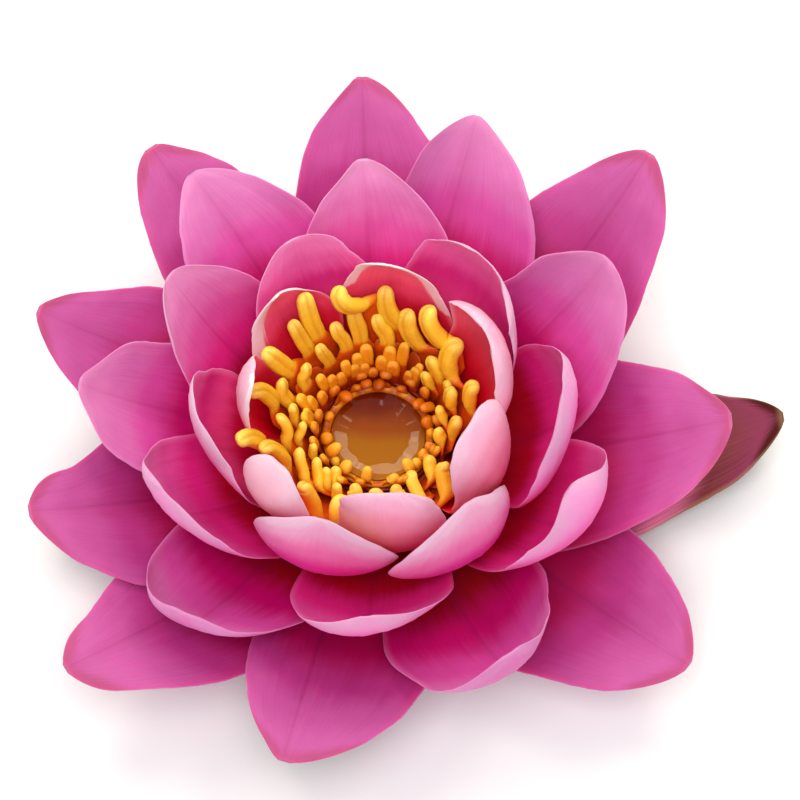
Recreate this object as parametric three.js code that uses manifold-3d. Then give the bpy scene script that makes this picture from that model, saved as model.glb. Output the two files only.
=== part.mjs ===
// Water lily flower, picked and set down on a surface: cup of petals open
// upwards, cut stalk downwards. Millimetres, +Z up, the flower's axis is
// vertical. Every petal, sepal and outer stamen is a separate closed solid;
// the shorter stamens inside them grow in two rings, one closed solid each.
import * as THREE from 'three';
import Module from 'manifold-3d';

// ---------------------------------------------------------------- dimensions
const CLEAR = 0.3;            // gap left between any two solids
const PETAL_T_BASE = 1.0;     // petal thickness at its foot
const PETAL_T_EDGE = 0.55;    // and at its tip
const SEPAL_T_BASE = 1.5;
const SEPAL_T_EDGE = 0.9;
const STALK_R = 3.8;          // cut stalk, radius
const NECK_Z = 3.0;           // stalk runs from the floor to here
const SEAT_R = 9.7;           // flank of the receptacle that carries the petals
const SHOULDER_R = 12.0;      // flared shoulder that carries the stamens
const SHOULDER_Z = 16.6;      // height of its top face
const CARPELS = 18;           // rays of the stigma bowl
const FOOT_R = SEAT_R + 0.35; // petals stop this far from the axis
const NU = 6, NV = 6;         // petal mesh: steps along, steps across
const END = 0.982;            // the rounded tip is closed here
const CENTRE = [5.33, 3.68];      // moves the bounding box over the origin

// Petal and sepal shapes. Azimuth (deg), foot radius and height, length,
// width, pitch at foot / middle / tip (deg), turn of the midrib, twist,
// cupping left and right, share of the cupping at the tip, edge roll left and
// right, place of the widest point, fullness of the outline, hook of the tip,
// lopsidedness, share of the roll at the tip.
const SHAPES = {
  S1: [2.62, 11.21, 4.25, 61.75, 27.42, -13.1, 4.4, 27.6, 6.7, -10.5, 1.1, 2.4, 1.003, -2.9, -0.9, 0.482, 0.652, 2, -0.096, 0.998],
  A9: [-133.83, 12.43, 5.64, 57.25, 29.57, 14.2, 17.1, 15.7, -15.8, 6.6, 9.4, 14.8, 1.041, -3.1, -1.5, 0.483, 0.682, -4.8, 0.103, 0.964],
  A7: [-37.85, 11.9, 6.11, 55.27, 30.92, 13.8, 7.9, 26.3, -1.1, 3.7, 18.8, 8.1, 1.069, -8.3, -6.9, 0.532, 0.658, -12, -0.06, 0.933],
  A8: [-105.47, 11.55, 6.57, 52.32, 31.78, 13.7, 20.5, 15.2, 1.9, -3.6, -1.5, 12.8, 0.957, 1.6, -1.9, 0.494, 0.644, -1.3, 0.22, 0.987],
  A1: [-162.8, 11.58, 7.21, 52.09, 28.94, 20.7, 17.2, 24.3, -4, -5.8, 1.8, 26.1, 1.008, 3.4, 3.8, 0.493, 0.645, -0.7, 0.137, 1.062],
  A2: [158.56, 11.78, 6.92, 53.25, 27.3, 23.1, 14.4, 14, 3.5, -0.6, -4.1, 22.2, 0.933, -11.5, 0.6, 0.499, 0.68, 8, 0.024, 1.03],
  A3: [126.9, 12.19, 5.98, 57.31, 26.05, 23.4, 11.1, 23.6, -0.5, -0.4, 9.6, 13.4, 1.025, -3.6, -2.4, 0.476, 0.573, 2.3, 0.008, 0.994],
  A5: [39.21, 12.12, 6.43, 60.67, 29.04, 19.6, 17.6, 18.3, 17.9, 2.9, 14.6, 3.1, 0.996, -1.3, -8, 0.478, 0.627, 3.3, 0.005, 1.016],
  A4: [92.78, 11.61, 6.94, 58.11, 27.8, 27, 13.2, 11.7, -0.7, -0.3, 23.3, 16.7, 1.063, 11.6, -2.8, 0.512, 0.656, -3.9, -0.018, 1.021],
  A6: [-2.72, 11.66, 7.63, 51.27, 35.18, 15.7, 17.4, 25.4, 8.1, -7.8, 18.9, 7.7, 1.005, -3.7, -4, 0.445, 0.625, 0.4, -0.063, 0.974],
  B1: [125.2, 11.76, 8.69, 48.21, 28.26, 33.8, 30.2, 20.7, 3.6, 2, 11.9, 33.9, 1.021, -8.8, 12.8, 0.495, 0.625, -0.8, -0.026, 0.96],
  B2: [71.81, 12.67, 8.83, 49.95, 31.43, 27.9, 28, 28.3, 1.4, 11.4, 48.5, 17.8, 1.161, 19.5, -1.4, 0.51, 0.735, -5.7, -0.053, 1.042],
  B6: [174.99, 11.93, 8.98, 45, 25.23, 34.3, 26.5, 43.8, 2.5, -10.3, 4.1, 25, 0.919, 12, 4.9, 0.565, 0.609, 3.1, 0.003, 1.077],
  B3: [29.23, 11.61, 9.16, 43.31, 30.71, 22.1, 35.7, 37.3, 11.1, -0.6, 40.5, 5.2, 1.128, 7.4, 2.6, 0.469, 0.634, -4.4, -0.104, 1.057],
  B4: [-65.86, 11.58, 8.46, 51.75, 30.43, 18.6, 19.7, 106.3, 7.2, 5.3, 37.4, 26, 1.42, -5, 4.4, 0.558, 0.593, 39.3, -0.021, 1.03],
  B5: [-131.37, 11.96, 9.22, 47.52, 29.29, 23.7, 19.2, 85, 0.6, 20.7, 10.8, 32.1, 1.203, 24.6, 25.1, 0.537, 0.527, 52.3, -0.048, 1.477],
  C1: [154, 12.51, 11.02, 41.35, 26.94, 27.6, 50.4, 54.5, -10.2, 4.4, 17.5, 44.4, 1.288, 35.9, 11, 0.529, 0.526, -2.6, 0.039, 1.23],
  C2: [92.85, 12.15, 11.13, 40.97, 29.8, 47.4, 37.9, 49.1, 2.1, 1.5, 41.3, 30.8, 1.191, 10.1, 14.7, 0.486, 0.627, 5.3, -0.055, 1.124],
  C5: [-29.21, 11.85, 10.13, 47.62, 31.15, 17.1, 38.9, 132.1, -0.1, -4.4, 36.1, 44.8, 1.39, 2.2, -3.9, 0.521, 0.64, 44.2, -0.022, 1.029],
  C6: [-2.56, 12.82, 11.87, 39.95, 33.16, 19.8, 53.9, 128.9, -0.8, -8.2, 41.3, 29.4, 1.166, 21.5, 37.3, 0.526, 0.628, 9.1, -0.045, 1.13],
  C3: [-152.38, 12.11, 12.08, 42.35, 29.18, 17.9, 36.8, 94.6, 5, 11.8, 27.4, 32.2, 1.164, 13.9, 29.1, 0.593, 0.564, 29.2, -0.024, 1.111],
  C4: [-91.65, 13.11, 11.4, 42.98, 28.39, 21, 38.1, 110.3, -7.5, 14.9, 27.3, 29.7, 1.444, 0.7, 9, 0.528, 0.635, 18.7, 0.034, 1.086],
  D1: [118.65, 12.5, 13.6, 32.15, 24.65, 52.7, 54.7, 68.7, -0.3, 0, 25.5, 30.5, 1.06, -1.1, -1.3, 0.532, 0.519, -4.9, 0.025, 1.03],
  D2: [48.63, 12.42, 13.73, 33.73, 31.25, 43.6, 54.6, 96.4, -3.4, -7.2, 27.5, 37, 1.225, 12.9, 23.1, 0.533, 0.34, 10.4, -0.017, 1.123],
  D3: [191.8, 12.63, 14.24, 35.3, 28.61, 30.7, 52.8, 106, 7.8, 6.7, 22.7, 38.1, 1.331, 6.5, 5.2, 0.506, 0.437, 8.7, -0.012, 1.103],
  E1: [134.45, 12.27, 15.48, 28.11, 17.79, 55.5, 56.1, 99.3, 2.7, 1, 15.5, 42.1, 0.96, -21, 18.4, 0.564, 0.616, 16.7, -0.027, 1.073],
  E2: [85.23, 12.07, 15.17, 28.16, 19.59, 56.3, 60, 110, -3.1, -4.2, 24.6, 17.9, 1.115, -4.5, 6.4, 0.525, 0.585, 12.7, -0.065, 1.089],
  E3: [26.8, 12.28, 15.24, 31.36, 22.25, 53.7, 64.5, 134.2, -3.7, -1.2, 42.8, 47.6, 1.217, 21.3, 21.1, 0.594, 0.437, 8.4, -0.016, 1.203],
  E4: [176.59, 12.11, 15.44, 31.42, 14.75, 38, 68.2, 118.7, 0.8, -2.4, 41.5, 49.2, 0.91, 9.6, 11.6, 0.547, 0.504, 19.1, 0.018, 1.007],
  E5: [-136.15, 12.31, 15.32, 36.87, 18.25, 29.5, 65.9, 128.6, 2, 3, 43.7, 45.8, 1.093, 7, 9.3, 0.537, 0.495, 9.5, 0.048, 1.004],
  E6: [-83.17, 12.42, 14.91, 35.28, 20.9, 11.7, 75.8, 125.8, -1.9, -3.3, 42.1, 46.5, 1.013, 10, 10.2, 0.533, 0.484, 3, -0.002, 0.998],
  E7: [-32.7, 13.41, 15.25, 37.2, 19.72, 22.6, 83.3, 122, -2.7, 2.6, 46.9, 47.9, 0.921, 13.4, 7.9, 0.556, 0.403, -13.1, -0.003, 1.059],
  D4: [-110.67, 12.54, 14.46, 39.09, 25.23, -5.6, 64.6, 131.1, -0.9, 11.6, 37.9, 49.6, 0.764, 11.8, 8.2, 0.668, 0.641, 3.8, -0.013, 0.918],
  D5: [-54.81, 12.9, 14.61, 39.06, 27.91, -0.5, 63.2, 138.8, -7.9, 11.2, 63, 41.7, 1.046, 15, 10.6, 0.68, 0.722, 4.2, -0.087, 1.017],
  S2: [80.01, 11.17, 4.11, 52.95, 26.37, -20.9, 6.5, 26.9, -0.2, 0.1, 20.3, 20, 0.998, -2.4, -1, 0.484, 0.655, -0.1, 0, 1.005],
  S3: [191.38, 11.17, 3.88, 51.7, 26.84, -21.1, 7.4, 25.8, -0.1, -0.2, 17.9, 20, 1.003, -3.3, -1.1, 0.484, 0.652, -0.1, -0.002, 1.001],
  S4: [-104.77, 11.22, 3.73, 47.22, 27.44, -15.1, 7, 25.1, -0.4, -5.3, -2.3, 17.5, 1.012, -12.3, -3.3, 0.484, 0.656, 0.1, 0.002, 1],
};
// Stamens by row: points of the middle line from foot to tip, width of the
// anther, and how much wider or narrower its filament is.
const OUTER = [
  [[[-6.73, 9.63, 16.9], [-10.25, 14.68, 26.64], [-11.29, 15.83, 29.39], [-12.05, 17.45, 32.35], [-12.55, 19.14, 34.49]], 2.66, 1],
  [[[-8.06, 8.55, 16.9], [-11.36, 12.06, 24.51], [-12.39, 12.7, 27.11], [-13.55, 13.63, 30.03], [-14.63, 14.83, 32.43]], 2.17, 1],
  [[[-0.71, 11.73, 16.9], [-1.16, 19.12, 29], [-3.05, 18.41, 30.56], [-5.32, 17.69, 32.36], [-6.47, 18.74, 33.75], [-6.03, 20.17, 34.82]], 2.5, 1],
  [[[2.31, 11.52, 16.9], [3.33, 16.61, 25.64], [1.87, 17.95, 28.62], [1.27, 19.34, 30.8], [1.41, 21.15, 32.8]], 2.66, 1],
  [[[6.56, 9.75, 16.9], [8.38, 12.47, 22.54], [7, 13.48, 24.66], [5.34, 14.98, 27.3], [4.93, 16.55, 29.11], [5.54, 17.91, 30.35]], 2.39, 1.25],
  [[[8.13, 8.48, 16.9], [12.13, 12.66, 25.84], [10.75, 13.5, 27.32], [9.16, 14.65, 29.05], [8.42, 16.33, 30.6], [9.41, 17.86, 31.79]], 2.82, 1.2],
  [[[10.4, 5.46, 16.9], [13.52, 7.1, 22.29], [12.53, 8.07, 24.16], [11.82, 9.7, 26.56], [12.46, 11.2, 28.54], [14.32, 11.74, 30.12]], 2.82, 1.2],
  [[[11.58, 1.97, 16.9], [15.32, 2.61, 22.11], [15.45, 3.42, 24.76], [15.65, 4.37, 27.38], [16.82, 4.61, 29.04]], 2.5, 1.1],
  [[[11.3, 3.24, 16.9], [12.52, 3.59, 19.38], [12.23, 4.65, 23.21], [12.62, 5.56, 25.39]], 2.39, 1],
  [[[7.61, -8.95, 16.9], [11.32, -13.31, 21.7], [11.04, -10.51, 23.38], [10.5, -8.01, 24.71], [11.57, -7.21, 25.23]], 2.28, 1.9],
  [[[-3.3, -11.28, 16.9], [-5.67, -19.35, 22.61], [-5.92, -18.15, 24.89], [-6.29, -16.42, 27.67], [-6.37, -15.65, 28.5]], 3.53, 1.35],
  [[[-6.03, -10.08, 16.9], [-9.96, -16.64, 22.57], [-11.08, -15.29, 26.94], [-12.6, -14.16, 30.67], [-14.2, -15.27, 32.45]], 2.5, 1.15],
  [[[-10, -6.17, 16.9], [-14.65, -9.03, 22.14], [-15.8, -7.72, 27.26], [-17.82, -7.47, 30.95], [-19.32, -8.78, 32.82]], 2.34, 1.1],
  [[[-11.26, -3.35, 16.9], [-18.33, -5.46, 24.45], [-19.76, -5.76, 29.19], [-21.45, -6.64, 33.16], [-22.94, -8.41, 36.03]], 2.5, 1],
  [[[-11.7, 1.13, 16.9], [-16.83, 1.63, 23.45], [-17.67, 2.54, 27.22], [-19.56, 2.72, 30.77], [-21.45, 1.4, 33.1]], 2.44, 1.05],
  [[[-9.86, 6.39, 16.9], [-13.65, 8.85, 23.72], [-15.34, 8.53, 26.55], [-17.26, 8.67, 29.97], [-19.1, 9.2, 32.8]], 2.61, 1],
];
const MIDDLE = [
  [[[-2.16, 10.74, 16.9], [-3.07, 15.26, 25.66], [-3.87, 16.81, 28.52], [-4.26, 18.37, 30.46]], 2.28, 1],
  [[[1.18, 10.89, 16.9], [1.61, 14.8, 24.67], [0.33, 16.14, 27.36], [-0.48, 17.5, 29.1]], 2.17, 1],
  [[[-4.04, 10.18, 16.9], [-5.52, 13.91, 24.69], [-6.72, 14.73, 27.2], [-7.45, 15.97, 29.22]], 2.01, 1],
  [[[-6.48, 8.82, 16.9], [-8.25, 11.22, 23.01], [-9.43, 11.76, 25.88], [-10.13, 12.51, 27.69]], 1.85, 1],
  [[[-9.42, 5.59, 16.9], [-12.56, 7.46, 23.53], [-12.2, 8.38, 25.51], [-12.18, 9.38, 26.97]], 1.96, 1],
  [[[-10.62, 2.67, 16.9], [-15.68, 3.94, 24.92], [-16.16, 4.97, 27.35], [-16.05, 5.86, 28.69]], 2.12, 1],
  [[[-10.61, -2.7, 16.9], [-15.21, -3.87, 23.37], [-15.16, -2.48, 25.67], [-15.82, -1.4, 27.44], [-17.04, -0.95, 28.67]], 2.01, 1.1],
  [[[-8.2, -7.26, 16.9], [-11.88, -10.51, 22.64], [-12.54, -8.96, 23.84], [-13.14, -7.15, 25.08], [-13.19, -5.51, 25.9]], 2.06, 1.15],
  [[[-10.75, -2.08, 16.9], [-13.46, -2.6, 21.65], [-12.89, -1.31, 23.13], [-12.53, -0.11, 24.13]], 1.63, 1.1],
  [[[-10.93, 0.69, 16.9], [-13.83, 0.87, 22.08], [-14.23, 1.44, 24.61], [-14.55, 2.06, 26.29]], 1.74, 1],
  [[[-6.54, -8.78, 16.9], [-7.62, -10.24, 20.42], [-7.21, -8.66, 21.21], [-7.13, -7.23, 21.76]], 1.79, 1.15],
  [[[-7.13, -8.31, 16.9], [-9.74, -11.36, 21.86], [-10.06, -9.64, 22.61], [-10.28, -7.89, 23.29], [-10.33, -6.4, 23.75]], 1.63, 1.3],
  [[[-9.89, -4.7, 16.9], [-10.9, -5.18, 20.08], [-11.01, -4.55, 21.43], [-10.8, -3.57, 22.98]], 1.52, 1],
  [[[8.29, 7.15, 16.9], [10.27, 8.85, 22.33], [9.42, 10.14, 24.5], [8.73, 11.2, 25.8]], 2.39, 1.05],
  [[[10.04, 4.36, 16.9], [12.16, 5.27, 21.71], [11.84, 6.12, 23.91], [11.82, 6.94, 25.31]], 1.58, 1],
  [[[8.32, 7.12, 16.9], [8.94, 7.65, 19.92], [8.36, 8.37, 22.07], [7.86, 9.17, 23.67]], 1.85, 1],
  [[[7.66, -7.82, 16.9], [9.35, -9.54, 20.87], [8.76, -7.07, 21.58], [8.88, -5.34, 21.96]], 1.96, 1.3],
  [[[5.11, -9.68, 16.9], [7.42, -14.07, 22.19], [6.5, -11.98, 21.97], [5.62, -9.6, 21.76], [6.01, -8.06, 21.65]], 1.79, 1.4],
  [[[-0.06, -10.95, 16.9], [-0.08, -13.86, 20.88], [-0.34, -12.79, 22.6], [-0.34, -11.96, 23.56]], 2.28, 1.1],
  [[[-2.87, -10.57, 16.9], [-4.09, -15.09, 21.87], [-3.82, -13.75, 22.87], [-3.95, -12.26, 23.83], [-4.62, -11.75, 24.23]], 2.17, 1.2],
  [[[2.94, -10.55, 16.9], [4.21, -15.1, 21.9], [3.81, -13.67, 22.64], [3.14, -12.34, 23.29], [3.67, -11.47, 23.65]], 2.17, 1.3],
  [[[10.87, 1.32, 16.9], [11.48, 1.4, 19.7], [10.65, 2.48, 21.36], [10.23, 3.51, 22.41]], 1.9, 1.1],
  [[[10.7, -2.31, 16.9], [11.18, -2.41, 19.7], [10.35, -1.38, 21.14], [10.48, -0.3, 22.08]], 2.01, 1.15],
  [[[10.89, -1.14, 16.9], [12.45, -1.3, 20.59], [12.88, -0.69, 23.05], [13.65, 0.01, 25.25]], 2.28, 1.15],
  [[[-4.91, -9.79, 16.9], [-6.65, -13.26, 21.55], [-6.89, -12.36, 23.72], [-6.8, -11.57, 25.02]], 1.52, 1.2],
  [[[-6.86, -8.53, 16.9], [-8.68, -10.79, 21.12], [-8.72, -9.33, 22.55], [-8.66, -8.1, 23.46]], 1.63, 1.3],
];
const INNER = [
  [[[-1.53, 9.88, 16.9], [-1.85, 11.93, 21.9], [-2.11, 13.61, 25.36]], 1.96, 1],
  [[[-2.87, 9.58, 16.9], [-3.31, 11.04, 21.4], [-3.67, 12.23, 24.45]], 1.79, 1],
  [[[1.59, 9.87, 16.9], [1.9, 11.78, 21.77], [2.15, 13.34, 25.12]], 1.96, 1],
  [[[-4.61, 8.87, 16.9], [-5.23, 10.06, 21.24], [-5.73, 11.03, 24.15]], 1.63, 1],
  [[[-3.52, 9.36, 16.9], [-3.8, 10.09, 20.73], [-4.02, 10.68, 23.23]], 1.52, 1],
  [[[-2.07, 9.78, 16.9], [-2.2, 10.41, 20.61], [-2.31, 10.93, 23.01]], 1.58, 1],
  [[[-0.87, 9.96, 16.9], [-0.9, 10.26, 20.1], [-0.89, 10.24, 22.21]], 1.58, 1],
  [[[0.52, 9.99, 16.9], [0.58, 11.13, 21.06], [0.63, 12.06, 23.83]], 1.79, 1],
  [[[2.29, 9.73, 16.9], [2.49, 10.56, 20.79], [2.65, 11.23, 23.34]], 2.17, 1],
  [[[3.24, 9.46, 16.9], [4.03, 11.77, 22.23], [4.67, 13.65, 25.95]], 1.74, 1],
  [[[5.53, 8.33, 16.9], [6.11, 9.2, 20.97], [6.58, 9.91, 23.67]], 1.63, 1],
  [[[4.9, 8.71, 16.9], [5.16, 9.17, 20.5], [5.37, 9.53, 22.81]], 1.52, 1],
  [[[7.73, 6.34, 16.9], [7.92, 6.5, 20.25], [8.08, 6.62, 22.36]], 1.58, 1],
  [[[5.53, 8.33, 16.9], [5.7, 8.58, 20.1], [5.37, 8.08, 21.7]], 1.63, 1],
  [[[9.87, 1.58, 16.9], [10.17, 1.62, 20.1], [9.41, 1.5, 21.6]], 1.63, 1],
  [[[-7.78, 6.28, 16.9], [-9.06, 7.32, 21.51], [-10.1, 8.16, 24.65]], 1.63, 1],
  [[[-6.9, 7.24, 16.9], [-7.55, 7.93, 20.89], [-8.09, 8.49, 23.52]], 1.68, 1],
  [[[-5.78, 8.16, 16.9], [-6.16, 8.7, 20.63], [-6.47, 9.14, 23.04]], 1.63, 1],
  [[[-9.61, 2.78, 16.9], [-11.78, 3.41, 22.07], [-13.56, 3.92, 25.66]], 1.79, 1],
  [[[-9.43, 3.31, 16.9], [-10.8, 3.79, 21.34], [-11.92, 4.19, 24.33]], 1.58, 1],
  [[[-8.7, 4.92, 16.9], [-9.33, 5.28, 20.68], [-9.84, 5.56, 23.13]], 1.68, 1],
  [[[-7.25, 6.89, 16.9], [-7.47, 7.09, 20.1], [-7.28, 6.92, 22]], 1.79, 1],
  [[[-9.97, 0.83, 16.9], [-11.5, 0.95, 21.42], [-12.75, 1.06, 24.47]], 1.68, 1],
  [[[-9.75, 2.23, 16.9], [-10.02, 2.29, 20.28], [-10.24, 2.34, 22.41]], 1.68, 1],
  [[[-10, -0.06, 16.9], [-10.6, -0.07, 20.58], [-11.1, -0.07, 22.95]], 1.58, 1],
  [[[-2.76, 9.61, 16.9], [-2.84, 9.9, 20.1], [-2.67, 9.29, 21.65]], 1.79, 1],
  [[[1.39, 9.9, 16.9], [1.43, 10.2, 20.1], [1.29, 9.16, 21.6]], 1.9, 1],
  [[[9.12, 4.1, 16.9], [9.39, 4.23, 20.1], [7.25, 3.26, 21.6]], 1.47, 1],
  [[[9.3, -3.67, 16.9], [9.58, -3.78, 20.1], [8.03, -3.17, 21.6]], 1.47, 1],
  [[[9.21, -3.9, 16.9], [9.48, -4.02, 20.1], [8.97, -3.8, 21.73]], 1.41, 1],
  [[[8.3, -5.57, 16.9], [8.55, -5.74, 20.1], [7.75, -5.2, 21.6]], 1.52, 1],
  [[[9.11, -4.12, 16.9], [9.69, -4.38, 20.6], [10.16, -4.59, 22.99]], 1.36, 1],
  [[[4.42, -8.97, 16.9], [4.61, -9.35, 20.41], [4.76, -9.65, 22.64]], 1.52, 1],
  [[[3.6, -9.33, 16.9], [3.72, -9.63, 20.33], [3.82, -9.88, 22.49]], 1.41, 1],
  [[[-2.83, -9.59, 16.9], [-2.94, -9.96, 20.38], [-3.03, -10.26, 22.59]], 1.41, 1],
  [[[-5.27, -8.5, 16.9], [-5.94, -9.59, 21.19], [-6.5, -10.49, 24.06]], 1.47, 1],
  [[[-8.4, -5.42, 16.9], [-8.93, -5.76, 20.59], [-9.36, -6.03, 22.98]], 1.36, 1],
  [[[-9.66, -2.6, 16.9], [-10.53, -2.84, 20.85], [-11.25, -3.03, 23.45]], 1.41, 1],
  [[[-9.89, 1.46, 16.9], [-11.32, 1.68, 21.33], [-12.49, 1.85, 24.32]], 1.41, 1],
  [[[5.74, 8.19, 16.9], [6.57, 9.38, 21.34], [7.26, 10.36, 24.34]], 1.36, 1],
];

const D = Math.PI / 180;
const KEYS = ['phi', 'r0', 'z0', 'L', 'W', 'p0', 'p1', 'p2', 'yaw', 'tw', 'cL',
  'cR', 'cf', 'rL', 'rR', 'm', 'e', 'hk', 'as', 'rs'];
const asShape = (a) => Object.fromEntries(KEYS.map((k, i) => [k, a[i]]));

// mid surface of a petal: points and inner-face normals on a grid
function midSurface(p, nu, nv, widen = 0) {
  const NS = 24;
  const M = [[p.r0 * Math.cos(p.phi * D), p.r0 * Math.sin(p.phi * D), p.z0]];
  const pitch = (s) => (p.p0 * (1 - s) * (1 - 2 * s) + 4 * p.p1 * s * (1 - s)
    + p.p2 * s * (2 * s - 1) + p.hk * Math.max(0, (s - 0.68) / 0.32) ** 2) * D;
  const head = (s) => (p.phi + p.yaw * s) * D;
  for (let i = 0; i < NS; i++) {
    const s = (i + 0.5) / NS, t = pitch(s), h = head(s), d = p.L / NS, q = M[i];
    M.push([q[0] + Math.cos(t) * Math.cos(h) * d,
      q[1] + Math.cos(t) * Math.sin(h) * d, q[2] + Math.sin(t) * d]);
  }
  const eB = p.e * p.m / (1 - p.m), H = nv / 2, P = [], N = [];
  // the foot is drawn back along the midrib until it meets the receptacle
  const back = Math.max(0, (p.r0 - FOOT_R) / Math.max(0.5, Math.cos(pitch(0))));
  const first = back > 0.25 ? -1 : 0;
  for (let i = first; i <= nu; i++) {
    const s0 = Math.max(0, i) / nu;
    const s = (1 - (1 - s0) * (1 - s0) * 0.35 - (1 - s0) * 0.65) * END;
    const f = s * NS, k = Math.min(NS - 1, Math.floor(f)), g = f - k;
    const c = [0, 1, 2].map((a) => M[k][a] + (M[k + 1][a] - M[k][a]) * g);
    const t = pitch(s), h = head(s);
    const T = [Math.cos(t) * Math.cos(h), Math.cos(t) * Math.sin(h), Math.sin(t)];
    if (i < 0) for (let a = 0; a < 3; a++) c[a] -= T[a] * back;
    const S = [-Math.sin(h), Math.cos(h), 0];
    const U = [T[1] * S[2] - T[2] * S[1], T[2] * S[0] - T[0] * S[2],
      T[0] * S[1] - T[1] * S[0]];
    const tw = p.tw * s * D, ct = Math.cos(tw), st = Math.sin(tw);
    const A = [0, 1, 2].map((a) => S[a] * ct + U[a] * st);
    const B = [0, 1, 2].map((a) => U[a] * ct - S[a] * st);
    const s1 = (s + 0.05) / 1.05;
    let w = p.W / 2 * Math.pow(s1 / p.m, eB) * Math.pow((1 - s1) / (1 - p.m), p.e);
    if (i < 0) w *= 0.72;
    const cup = (p.cf * s + (2 - p.cf) * (1 - s)) * Math.min(1, w / (p.W / 2) + 0.25);
    const rf = p.rs * s + (2 - p.rs) * (1 - s);
    const row = new Array(nv + 1), nrow = new Array(nv + 1);
    for (const sd of [1, -1]) {
      const cc = (sd > 0 ? p.cL : p.cR) * D * cup, ro = (sd > 0 ? p.rL : p.rR) * D * rf;
      const ww = w * (1 + sd * p.as) + widen;
      let a = 0, b = 0;
      for (let j = 0; j <= H; j++) {
        const idx = sd > 0 ? H + j : H - j;
        const v = j / H, q = Math.max(0, v - 0.5) * 2, an = cc * v + ro * q * q;
        row[idx] = [0, 1, 2].map((n) => c[n] + sd * a * A[n] + b * B[n]);
        nrow[idx] = [0, 1, 2].map((n) => Math.cos(an) * B[n] - sd * Math.sin(an) * A[n]);
        const SUB = 4;                      // arc drawn in short steps
        for (let u = 0; u < SUB; u++) {
          const v2 = (j + (u + 0.5) / SUB) / H, q2 = Math.max(0, v2 - 0.5) * 2;
          const a2 = cc * v2 + ro * q2 * q2;
          a += Math.cos(a2) * ww / H / SUB; b += Math.sin(a2) * ww / H / SUB;
        }
      }
    }
    P.push(row); N.push(nrow);
  }
  return { P, N };
}

// closed shell round a mid surface
function shell(p, tBase, tEdge, grow = 0) {
  const { P, N } = midSurface(p, NU, NV, grow);
  const R = P.length, C = NV + 1, v = [], idx = [];
  for (const side of [1, -1]) {
    for (let i = 0; i < R; i++) for (let j = 0; j < C; j++) {
      const edge = Math.abs(j - NV / 2) / (NV / 2), f = i / (R - 1);
      const t = (tBase + (tEdge - tBase) * Math.max(f, edge * 0.8)) / 2 + grow;
      for (let a = 0; a < 3; a++) v.push(P[i][j][a] + side * N[i][j][a] * t);
    }
  }
  const at = (s, i, j) => s * R * C + i * C + j;
  const quad = (a, b, c, d) => idx.push(a, b, c, a, c, d);
  for (let i = 0; i < R - 1; i++) for (let j = 0; j < NV; j++) {
    quad(at(0, i, j), at(0, i + 1, j), at(0, i + 1, j + 1), at(0, i, j + 1));
    quad(at(1, i, j), at(1, i, j + 1), at(1, i + 1, j + 1), at(1, i + 1, j));
  }
  for (let i = 0; i < R - 1; i++) {
    quad(at(0, i, 0), at(1, i, 0), at(1, i + 1, 0), at(0, i + 1, 0));
    quad(at(0, i + 1, NV), at(1, i + 1, NV), at(1, i, NV), at(0, i, NV));
  }
  for (let j = 0; j < NV; j++) {
    quad(at(0, 0, j), at(0, 0, j + 1), at(1, 0, j + 1), at(1, 0, j));
    quad(at(0, R - 1, j + 1), at(0, R - 1, j), at(1, R - 1, j), at(1, R - 1, j + 1));
  }
  return { v, idx };
}

// a strap swept through stations {c, across, out, w, t}, closed at both ends
function sweep(st, n) {
  const v = [], idx = [];
  for (const q of st) for (let k = 0; k < n; k++) {
    const a = 2 * Math.PI * (k + 0.5) / n;
    for (let i = 0; i < 3; i++) {
      v.push(q.c[i] + q.across[i] * Math.cos(a) * q.w / 2 + q.out[i] * Math.sin(a) * q.t / 2);
    }
  }
  const S = st.length;
  for (let s = 0; s < S - 1; s++) for (let k = 0; k < n; k++) {
    const a = s * n + k, b = s * n + (k + 1) % n;
    idx.push(a, b, b + n, a, b + n, a + n);
  }
  for (let k = 1; k < n - 1; k++) {
    idx.push(0, k + 1, k);
    idx.push((S - 1) * n, (S - 1) * n + k, (S - 1) * n + k + 1);
  }
  return { v, idx };
}

// evenly spaced points of a smooth curve through the given ones
function curve(pts, S) {
  const at = (i, a) => {
    if (i < 0) return 2 * pts[0][a] - pts[1][a];
    if (i >= pts.length) return 2 * pts[pts.length - 1][a] - pts[pts.length - 2][a];
    return pts[i][a];
  };
  const fine = [], M = 12;
  for (let i = 0; i < pts.length - 1; i++) for (let k = i ? 1 : 0; k <= M; k++) {
    const t = k / M;
    fine.push([0, 1, 2].map((a) => {
      const [p, q, r, s] = [at(i - 1, a), at(i, a), at(i + 1, a), at(i + 2, a)];
      return 0.5 * (2 * q + (r - p) * t + (2 * p - 5 * q + 4 * r - s) * t * t + (3 * q - p - 3 * r + s) * t ** 3);
    }));
  }
  const L = [0];
  for (let i = 1; i < fine.length; i++) L.push(L[i - 1] + Math.hypot(...[0, 1, 2].map((a) => fine[i][a] - fine[i - 1][a])));
  const out = [];
  for (let i = 0, j = 0; i <= S; i++) {
    const want = L[L.length - 1] * i / S;
    while (j < L.length - 2 && L[j + 1] < want) j++;
    const f = (want - L[j]) / (L[j + 1] - L[j]);
    out.push([0, 1, 2].map((a) => fine[j][a] * (1 - f) + fine[j + 1][a] * f));
  }
  return out;
}
const step = (x, xs, ys) => {
  let i = 0;
  while (i < xs.length - 2 && x > xs[i + 1]) i++;
  const t = Math.min(1, Math.max(0, (x - xs[i]) / (xs[i + 1] - xs[i])));
  return ys[i] * (1 - t) + ys[i + 1] * t;
};

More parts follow.
